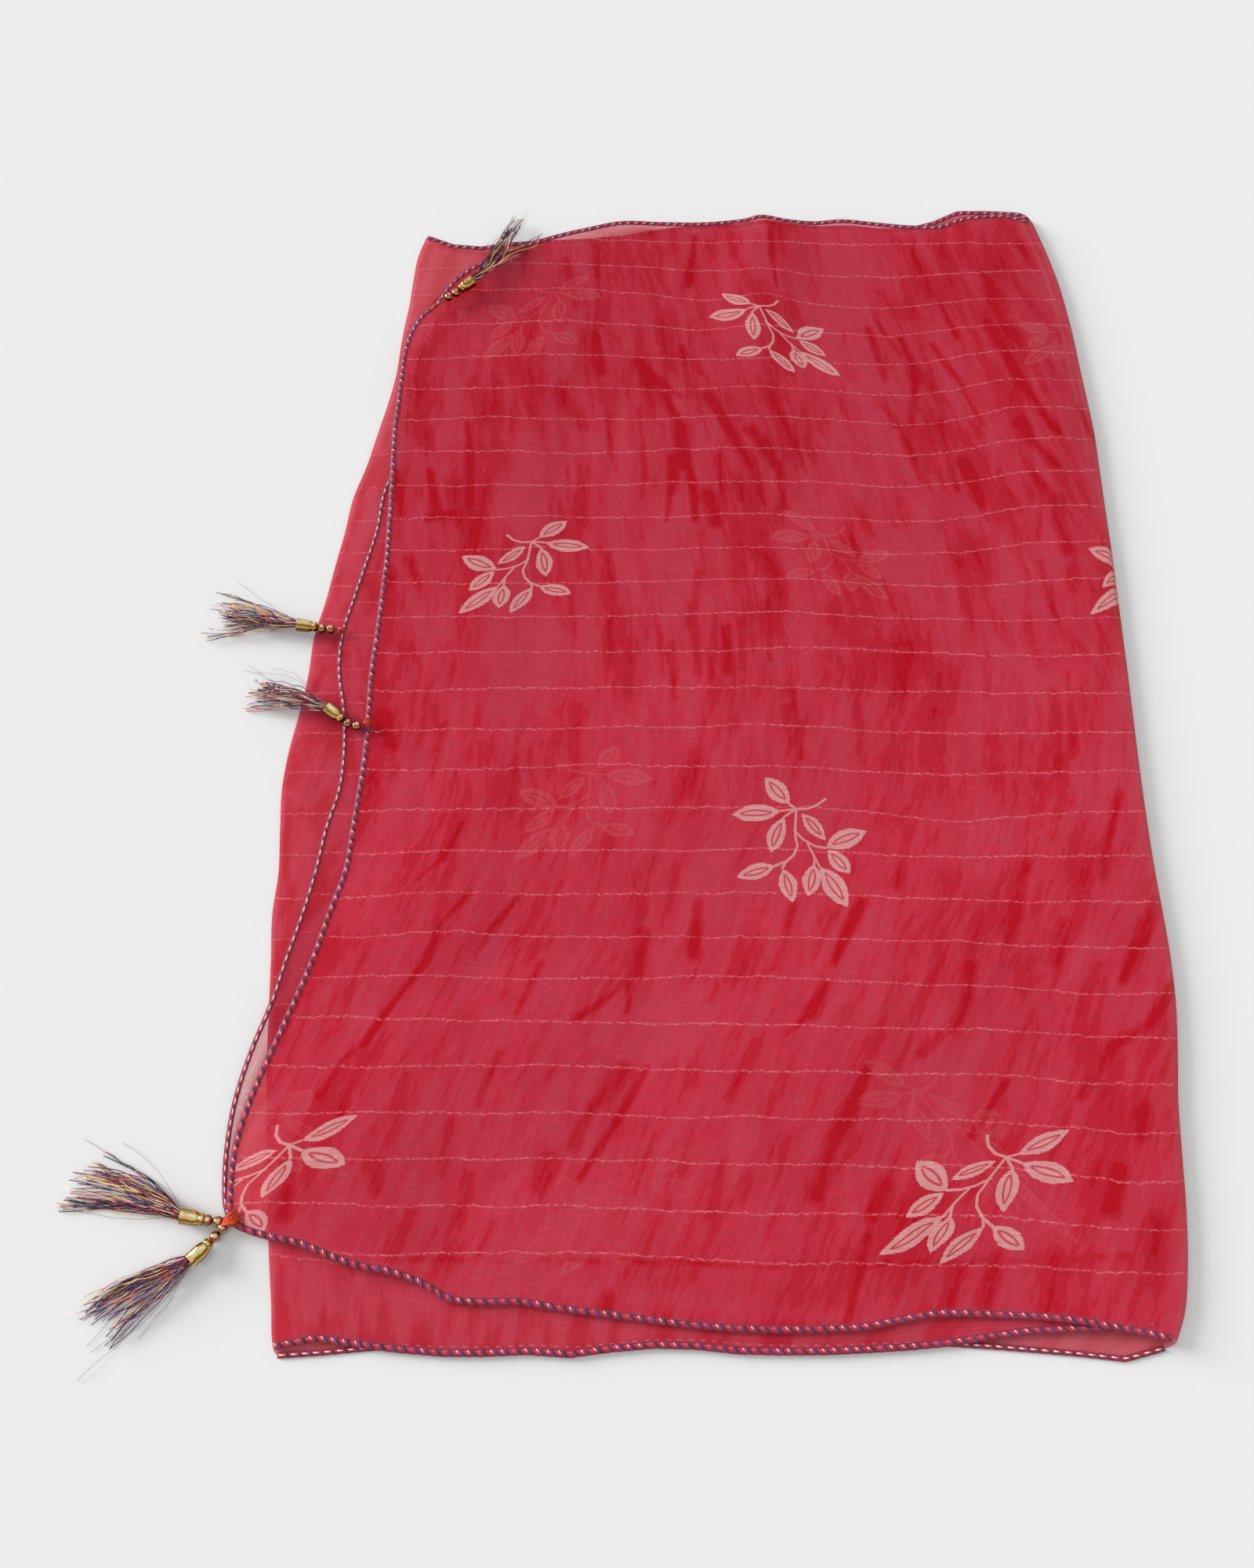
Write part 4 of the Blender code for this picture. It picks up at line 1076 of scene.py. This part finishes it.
def thread_material(name, rough=0.55, sheen=0.2):
    """Twisted thread that takes its colour from each thread's own tint."""
    m, g, bsdf, out = fresh(name)
    tint = g.attribute("tint").outputs["Color"]
    place = g.node("ShaderNodeTexCoord").outputs["Object"]
    n = g.noise(place, 2600.0, 2.0, 0.6)
    k = g.fma(n, 0.9, 0.55)
    g.put(bsdf.inputs["Base Color"], g.mix(1.0, tint, g.vec(k, k, k), "MULTIPLY"))
    bsdf.inputs["Roughness"].default_value = rough
    bsdf.inputs["Sheen Weight"].default_value = sheen
    bump = g.node("ShaderNodeBump")
    bump.inputs["Strength"].default_value = 0.5
    bump.inputs["Distance"].default_value = 0.0001
    g.put(bump.inputs["Height"], n)
    g.put(bsdf.inputs["Normal"], bump.outputs["Normal"])
    return m


HEM_MAT = thread_material("hem_threads")
FRINGE_MAT = thread_material("fringe_threads", 0.50, 0.0)
ORANGE_MAT = thread_material("orange_threads", 0.6, 0.0)

RED = srgb(206, 40, 62)
RED_DARK = srgb(176, 30, 52)
PURPLE = srgb(104, 40, 112)
PURPLE_DARK = srgb(70, 24, 62)
PALE = srgb(252, 214, 222)
CORD = srgb(192, 34, 60)
# colour of the dark threads beside the hem cord: partly the threads' own colour, partly painted shade
EDGE_THREAD_AND_SHADE = srgb(118, 22, 52)
SLASH = (srgb(92, 30, 92), srgb(76, 24, 66), srgb(118, 26, 62), srgb(110, 44, 124))


def offset_path(path, d):
    """A path of (x, y) moved d to its left."""
    p = np.asarray(path, float)
    g = np.gradient(p, axis=0)
    g /= np.hypot(g[:, 0], g[:, 1])[:, None]
    return p + np.stack([-g[:, 1], g[:, 0]], 1) * d


def hem(name, path, inward, z, face, nodes, seed):
    """An overlocked hem along a path of (x, y). inward is +1 if the cloth is to
    the path's left. face is True where the stitches' face side shows."""
    rnd = random.Random(seed)
    p = np.asarray(path, float)
    run = np.concatenate([[0.0], np.cumsum(np.hypot(*np.diff(p, axis=0).T))])
    total = run[-1]
    pitch = 5.6
    n = max(2, int(round(total / pitch)))
    pitch = total / n

    def spot(s, out):
        s = min(max(s, 0.0), total)
        x, y = np.interp(s, run, p[:, 0]), np.interp(s, run, p[:, 1])
        e = 0.8
        xa, ya = np.interp(max(s - e, 0), run, p[:, 0]), np.interp(max(s - e, 0), run, p[:, 1])
        xb, yb = np.interp(min(s + e, total), run, p[:, 0]), np.interp(min(s + e, total), run, p[:, 1])
        dx, dy = xb - xa, yb - ya
        k = math.hypot(dx, dy) or 1.0
        ox, oy = dy / k * inward, -dx / k * inward
        return np.array([x + ox * out, y + oy * out, 0.0])

    runs = []
    width = 3.2 if face else 2.4
    m = max(8, int(total / 1.5))
    core, core_r = [], []
    for i in range(m + 1):
        s = total * i / m
        c = spot(s, 0.0)
        zc = z(c[0], c[1])
        puff = 1.0 + 0.05 * math.sin(2 * math.pi * s / pitch) + 0.03 * rnd.uniform(-1, 1)
        core.append((c[0], c[1], zc))
        core_r.append((width / 2 * puff, 0.62 * puff))
    runs.append((core, core_r, CORD if face else RED_DARK, 0))
    # the thin dark threads that run along both sides of the cord, darkened also to paint the shade along the cord's
    # sides
    for side in (-1.0, 1.0):
        line = []
        for i in range(m + 1):
            s = total * i / m
            c = spot(s, side * width * (0.47 + 0.03 * math.sin(2 * math.pi * s / pitch)))
            line.append((c[0], c[1], z(c[0], c[1]) + 0.12))
        runs.append((line, 0.26, EDGE_THREAD_AND_SHADE, 0))

    def lift(out, extra=0.0):
        u = max(-1.0, min(1.0, out / (width / 2)))
        return 0.62 * math.sqrt(max(0.0, 1.0 - u * u)) + extra

    for i in range(n):
        s0 = (i + 0.5) * pitch + rnd.uniform(-0.35, 0.35)
        wide = width / 2 * rnd.uniform(0.92, 1.08)
        if face:
            # dark slash over the cord, and a lighter thread beside it
            tint = SLASH[int(rnd.random() * len(SLASH))]
            for ds, reach, r, c in ((0.0, 0.92, 0.50, tint), (1.15, 0.80, 0.30, PURPLE_DARK if rnd.random() < 0.6
                                                             else PURPLE)):
                pts = []
                for k in range(7):
                    e = k / 6
                    out = wide * reach * (2 * e - 1)
                    q = spot(s0 + ds - 1.2 + 2.4 * e, out)
                    q[2] = z(q[0], q[1]) + lift(out, 0.05)
                    pts.append(q)
                runs.append((pts, [(r * (0.5 + 0.5 * math.sin(math.pi * (k + 0.6) / 7.2)), r * 0.7)
                                   for k in range(7)], c, 0))
            # pale needle thread
            pale = PALE if rnd.random() < 0.62 else srgb(206, 104, 128)
            a, b = spot(s0 - 2.6, -0.80 * wide), spot(s0 - 1.2, 0.15 * wide)
            mid = (a + b) / 2
            runs.append(([(a[0], a[1], z(a[0], a[1]) + lift(0.8 * wide, 0.12)),
                          (mid[0], mid[1], z(mid[0], mid[1]) + lift(0.4 * wide, 0.20)),
                          (b[0], b[1], z(b[0], b[1]) + lift(0.0, 0.10))], [0.16, 0.30, 0.18], pale, 0))
        else:
            # the reverse: pale dashes and thin dark loops
            a, b = spot(s0 - 1.7, -0.30), spot(s0 + 1.2, -0.10)
            mid = (a + b) / 2
            za = z(mid[0], mid[1])
            runs.append(([(a[0], a[1], za + 0.55), (mid[0], mid[1], za + 0.8), (b[0], b[1], za + 0.55)],
                         [0.24, 0.38, 0.24], PALE, 0))
            pts = []
            for k in range(6):
                e = k / 5
                out = -wide + 2 * wide * e
                q = spot(s0 + 1.6 + 1.2 * e, out)
                q[2] = z(q[0], q[1]) + lift(out, 0.1)
                pts.append(q)
            runs.append((pts, 0.36, PURPLE_DARK if rnd.random() < 0.5 else PURPLE, 0))
    ob = tubes(name, runs, 5, [HEM_MAT])
    if nodes:
        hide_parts(*nodes)
    return ob


def round_corner(path):
    """The third leaf's far hem turns down behind the fold at its right end."""
    x, y = path[-1][0], path[-1][1]
    turn = [(4.5, -0.9), (7.6, -3.0), (9.6, -6.2)]
    return [(p[0], p[1]) for p in path] + [(x + dx, y + dy) for dx, dy in turn]


def hem_paths():
    """The middle line of each hem, just outside the cloth's own edge."""
    out = HEM_W / 2 - TUCK
    return {
        "front_left": offset_path(grid1[:, 0], -out * -1.0),
        "front_near": grid1[0],
        "front_far": grid1[-1],
        "second_left": grid2[:, 0],
        "third_near": grid3[0],
        "fourth_near": grid4[0],
        "third_far": round_corner(grid3[-1]),
        "fourth_far": grid4[-1],
    }


HP = hem_paths()
zf = lambda x, y: float(z_front(x, y)) - 0.1
zs = lambda x, y: float(z_second(x, y)) - 0.1
zt = lambda x, y: float(z_third(x, y)) - 0.1
z4 = lambda x, y: 0.72
HEMS = [
    hem("hem_front_left", HP["front_left"], -1, zf, True, ["front_hem_left"], 11),
    hem("hem_front_near", HP["front_near"], 1, zf, True, ["front_hem_near"], 12),
    hem("hem_front_far", HP["front_far"], -1, zf, True, ["front_hem_far"], 13),
    hem("hem_second_left", HP["second_left"], -1, zs, False, ["second_hem_left"], 14),
    hem("hem_third_near", HP["third_near"], 1, zt, True, ["third_hem_near"], 15),
    hem("hem_third_far", HP["third_far"], -1, lambda x, y: max(zt(x, y), 1.6), True, ["third_hem_far_left", "third_hem_far_right"], 16),
    hem("hem_fourth_near", HP["fourth_near"], 1, z4, False, ["fourth_hem_near_left", "fourth_hem_near_right"], 17),
]


# =================================================================== tassels
def metal_with_painted_reflections(name, dark, body, painted_highlight, size):
    """Polished plating with painted reflections: dark bands and a painted highlight are painted into the colour by
    which way the surface faces, in place of real reflections; noise breaks up the bands and varies the roughness, like
    wear.
    """
    m, g, bsdf, out = fresh(name)
    place = g.node("ShaderNodeTexCoord").outputs["Object"]
    n = g.noise(place, size, 2.0, 0.6)
    nx, ny, nz = g.split(g.node("ShaderNodeNewGeometry").outputs["Normal"])
    # which way the surface faces, with noise; this sets the painted reflection bands below: dark low down, a dark
    # middle band, and a painted highlight on top
    side = g.fma(nx, 0.22, g.fma(ny, 0.30, g.fma(n, 0.30, g.sub(nz, 0.15))))
    low = g.step(side, 0.18, 0.42)
    mid = g.mul(g.step(side, 0.56, 0.66), g.step(side, 0.86, 0.95, 1.0, 0.0))
    top = g.step(side, 1.00, 1.08)
    col = g.mix(low, dark, body)
    col = g.mix(g.mul(mid, 0.85), col, dark)
    col = g.mix(top, col, painted_highlight)
    bsdf.inputs["Metallic"].default_value = 1.0
    g.put(bsdf.inputs["Base Color"], col)
    g.put(bsdf.inputs["Roughness"], g.fma(n, 0.16, 0.12))
    return m


# The three colours are the painted dark reflection, the metal's own colour and the painted highlight.
def brass_material():
    return metal_with_painted_reflections("brass_cap_metal", srgb(124, 86, 36), srgb(236, 196, 120), srgb(255, 246, 214), 420.0)


def bead_material():
    return metal_with_painted_reflections("rose_gold_metal", srgb(122, 70, 44), srgb(222, 170, 124), srgb(255, 240, 222), 520.0)


BRASS_MAT, BEAD_MAT = brass_material(), bead_material()


def turned(name, start, end, profile, sides, mat, node):
    """A turned piece on the line from start to end."""
    a, b = np.array(start, float), np.array(end, float)
    ax = b - a
    n = np.linalg.norm(ax)
    ax /= n
    side = np.cross(ax, [0, 0, 1.0])
    side /= np.linalg.norm(side)
    up = np.cross(side, ax)
    verts, faces = [], []
    for t, r in profile:
        for k in range(sides):
            w = 2 * math.pi * k / sides
            verts.append(tuple((a + ax * n * t + r * (math.cos(w) * side + math.sin(w) * up)) * MM))
    m = len(profile)
    for i in range(m - 1):
        for k in range(sides):
            k2 = (k + 1) % sides
            faces.append((i * sides + k, (i + 1) * sides + k, (i + 1) * sides + k2, i * sides + k2))
    faces.append(tuple(range(sides)))
    faces.append(tuple((m - 1) * sides + k for k in range(sides))[::-1])
    me = bpy.data.meshes.new(name)
    me.from_pydata(verts, [], faces)
    me.materials.append(mat)
    me.shade_smooth()
    me.set_sharp_from_angle(angle=math.radians(50))
    ob = bpy.data.objects.new(name, me)
    bpy.context.scene.collection.objects.link(ob)
    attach(ob, "root")
    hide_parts(node)
    return ob


FRINGE = [
    (0.24, srgb(92, 20, 44)), (0.11, srgb(60, 40, 124)), (0.20, srgb(240, 204, 140)),
    (0.12, srgb(196, 50, 62)), (0.22, srgb(22, 12, 24)), (0.06, srgb(244, 220, 212)),
    (0.03, srgb(150, 112, 160)), (0.02, srgb(232, 104, 48)),
]

# Where the orange thread runs from each anchor: reach inwards and half width.
Knot = namedtuple("Knot", "reach half count turn dx dy")
KNOTS = {"tassel_1": Knot(3.5, 1.1, 9, 0, 0, 0), "tassel_2": Knot(2.5, 1.8, 10, 0, 0, 0),
         "tassel_3": Knot(3.0, 2.6, 12, 0, 0, 0), "tassel_4": Knot(8.6, 3.2, 26, 4, -1.9, -4.2),
         "tassel_5": Knot(2.0, 1.0, 5, 0, -2.5, 1.0)}
LOOK_BEAD_R = 2.8
NUDGE = {"tassel_4": (1.5, -0.6), "tassel_5": (1.0, 3.0)}
CAP_NUDGE = {"tassel_4": (3.0, -0.8)}
BRANCH = {"tassel_1": (5, 17.0, -22.0)}      # strands that part sideways, and where to


def pick_tint(rnd):
    v = rnd.random()
    for share, c in FRINGE:
        if v < share:
            return c
        v -= share
    return FRINGE[0][1]


def tassel(t, seed):
    rnd = random.Random(seed)
    nx, ny = NUDGE.get(t.name, (0.0, 0.0))
    move = lambda c: (c[0] + nx, c[1] + ny)
    t = t._replace(bead_a=move(t.bead_a), bead_b=move(t.bead_b))
    nx, ny = CAP_NUDGE.get(t.name, (nx, ny))
    t = t._replace(cap_a=move(t.cap_a), cap_b=move(t.cap_b), mid=move(t.mid))
    zc = t.z_cap
    pieces = []
    d = math.dist(t.cap_a, t.cap_b)
    ux, uy = (t.cap_b[0] - t.cap_a[0]) / d, (t.cap_b[1] - t.cap_a[1]) / d
    for tag, c in (("_bead_a", t.bead_a), ("_bead_b", t.bead_b)):
        z = max(zc, 0.3) + LOOK_BEAD_R
        prof = []
        for k in range(15):
            a = math.radians(12 + 156 * k / 14)
            prof.append((0.5 - 0.5 * math.cos(a), LOOK_BEAD_R * math.sin(a)))
        ob = turned("look_" + t.name + tag, (c[0] - ux * LOOK_BEAD_R, c[1] - uy * LOOK_BEAD_R, z),
                    (c[0] + ux * LOOK_BEAD_R, c[1] + uy * LOOK_BEAD_R, z), prof, 28, BEAD_MAT,
                    t.name + tag)
        pieces.append(ob)
    z = zc + CAP_R
    cap_prof = [(-0.14, 0.9), (-0.13, 1.9), (-0.09, 2.6), (-0.02, 2.95), (0.06, 2.9), (0.12, 2.55), (0.15, 2.7),
                (0.22, 3.25), (0.32, 3.65), (0.46, 3.85), (0.80, 3.9), (0.92, 3.95), (0.97, CAP_R), (1.0, CAP_R),
                (1.0, CAP_R - 0.45), (0.9, CAP_R - 0.55)]
    pieces.append(turned("look_" + t.name + "_cap", (*t.cap_a, z), (*t.cap_b, z), cap_prof, 32, BRASS_MAT,
                         t.name + "_cap"))

    # the loose threads, in strands that part from one another
    start = np.array([t.cap_b[0] - ux * 1.0, t.cap_b[1] - uy * 1.0])
    mid = np.array([2 * t.mid[0] - 0.5 * start[0] - 0.5 * t.end[0], 2 * t.mid[1] - 0.5 * start[1] - 0.5 * t.end[1]])
    end = np.array(t.end, float)
    ax = end - start
    ax /= np.linalg.norm(ax)
    across = np.array([-ax[1], ax[0]])
    branch = BRANCH.get(t.name, (0, 0.0, 0.0))
    runs = []
    strands = []
    for k in range(15):
        strands.append(dict(fan=max(-1.1, min(1.1, rnd.gauss(0.0, 0.62))), long=rnd.uniform(0.80, 1.04),
                            bow=rnd.uniform(-4.0, 4.0), amp=rnd.uniform(0.3, 1.2), phase=rnd.uniform(0, 6.28),
                            wave=rnd.uniform(5.0, 10.0), rise=rnd.random(), a0=rnd.uniform(0, 2 * math.pi),
                            r0=2.6 * math.sqrt(rnd.random()), tint=pick_tint(rnd), parts=k < branch[0]))

    def thread(st, spread, tint, radius, n=24, loose=1.0):
        fan = st["fan"] + rnd.gauss(0.0, 0.16) * spread
        long = st["long"] * rnd.uniform(0.90, 1.03)
        goal = end + (np.array(branch[1:]) if st.get("parts") else 0.0)
        tip = goal + across * fan * t.half * (0.45 if branch[0] else 1.0)
        bow = st["bow"] + rnd.uniform(-2.4, 2.4) * loose
        p1, w1, m1 = rnd.uniform(0, 6.28), rnd.uniform(16, 34), rnd.uniform(0.15, 0.55)
        oa, orr = rnd.uniform(0, 6.28), rnd.uniform(0.0, 0.9)
        pts = []
        for i in range(n):
            e = long * i / (n - 1)
            c = (1 - e)**2 * start + 2 * e * (1 - e) * (mid + across * fan * t.half * 0.30) + e * e * tip
            side = (math.cos(st["a0"]) * st["r0"] + math.cos(oa) * orr) * (1 - 0.75 * e) + bow * math.sin(math.pi * e) \
                + st["amp"] * math.sin(st["phase"] + st["wave"] * e) * min(1.0, 2.2 * e) \
                + m1 * math.sin(p1 + w1 * e) * min(1.0, 3 * e)
            hold = float(smooth((e - t.hold) / (0.95 - t.hold)))
            base = zc + (t.z_end - zc) * hold
            top = 6.8 * (1 - e) + 3.2 * e
            ring = CAP_R + math.sin(st["a0"]) * st["r0"] + math.sin(oa) * orr
            lay = 0.3 + st["rise"] * (top - 1.2) + 0.5 * math.sin(p1 * 2 + 0.7 * w1 * e)
            zz = base + ring * (1 - e)**3 + max(0.25, lay) * (1 - (1 - e)**3)
            q = c + across * side
            pts.append((q[0], q[1], max(zz, 0.25)))
        if n == 24:
            other = pick_tint(rnd)
            k0 = rnd.randrange(9)
            tint = [other if (i + k0) % 9 in (1, 2, 3) else tint for i in range(n)]
        runs.append((pts, radius, tint, 0))

    for st in strands:
        for j in range(4):
            tint = st["tint"] if rnd.random() < 0.40 else pick_tint(rnd)
            thread(st, 1.0, tint, rnd.uniform(0.17, 0.25))
    for j in range(7):
        stray = dict(fan=rnd.uniform(-1.7, 1.7), long=rnd.uniform(0.75, 1.15), bow=rnd.uniform(-9, 9), amp=0.5,
                     phase=rnd.uniform(0, 6), wave=4.0, rise=0.2, a0=rnd.uniform(0, 6), r0=2.0, tint=None)
        thread(stray, 1.0, srgb(112, 84, 88), 0.085, 18)
    ob = tubes("look_" + t.name + "_skirt", runs, 4, [FRINGE_MAT])
    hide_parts(t.name + "_skirt")
    pieces.append(ob)

    # the cord through the beads, and the orange thread at its anchor
    runs = []
    zb = max(zc, 0.3) + LOOK_BEAD_R
    za = t.z_anchor + 1.3
    line = [(*t.anchor, za), (*t.bead_a, zb), (*t.bead_b, zb), (*t.cap_a, z)]
    runs.append((line, 0.5, srgb(150, 62, 44), 0))
    kn = KNOTS[t.name]
    back = np.array(t.anchor, float) - np.array(t.bead_a, float)
    back /= np.linalg.norm(back)
    ca, sa = math.cos(math.radians(kn.turn)), math.sin(math.radians(kn.turn))
    back = np.array([back[0] * ca - back[1] * sa, back[0] * sa + back[1] * ca])
    turn_ = np.array([-back[1], back[0]])
    root = np.array(t.anchor, float) - back * 2.2 + np.array([kn.dx, kn.dy])
    for k in range(kn.count):
        f = -1.0 + 2.0 * (k + 0.5) / kn.count + rnd.uniform(-0.08, 0.08)
        far = root + back * (kn.reach + 2.2) * rnd.uniform(0.72, 1.0) + turn_ * f * kn.half
        m = (root + far) / 2 + turn_ * f * kn.half * 0.18
        lift = rnd.uniform(0.0, 0.35)
        tint = srgb(240, 84, 14) if rnd.random() < 0.66 else srgb(176, 40, 20)
        runs.append(([(root[0], root[1], za + 0.5), (m[0], m[1], za + 0.75 + lift), (far[0], far[1], za - 0.35)],
                     [0.30, 0.34, 0.22], tint, 0))
    for k in range(5):
        f = rnd.uniform(0.15, 0.8)
        c = root + back * kn.reach * f
        w = kn.half * f + 0.7
        runs.append(([tuple(c + turn_ * w) + (za - 0.1,), tuple(c + back * 0.5) + (za + 1.0,),
                      tuple(c - turn_ * w) + (za - 0.1,)], 0.26, srgb(214, 66, 20), 0))
    ob = tubes("look_" + t.name + "_stitch", runs, 5, [ORANGE_MAT])
    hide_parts(t.name + "_stitch")
    pieces.append(ob)
    return pieces


TASSEL_PIECES = []
for k, row in enumerate(TASSELS):
    TASSEL_PIECES += tassel(row, 100 + k)
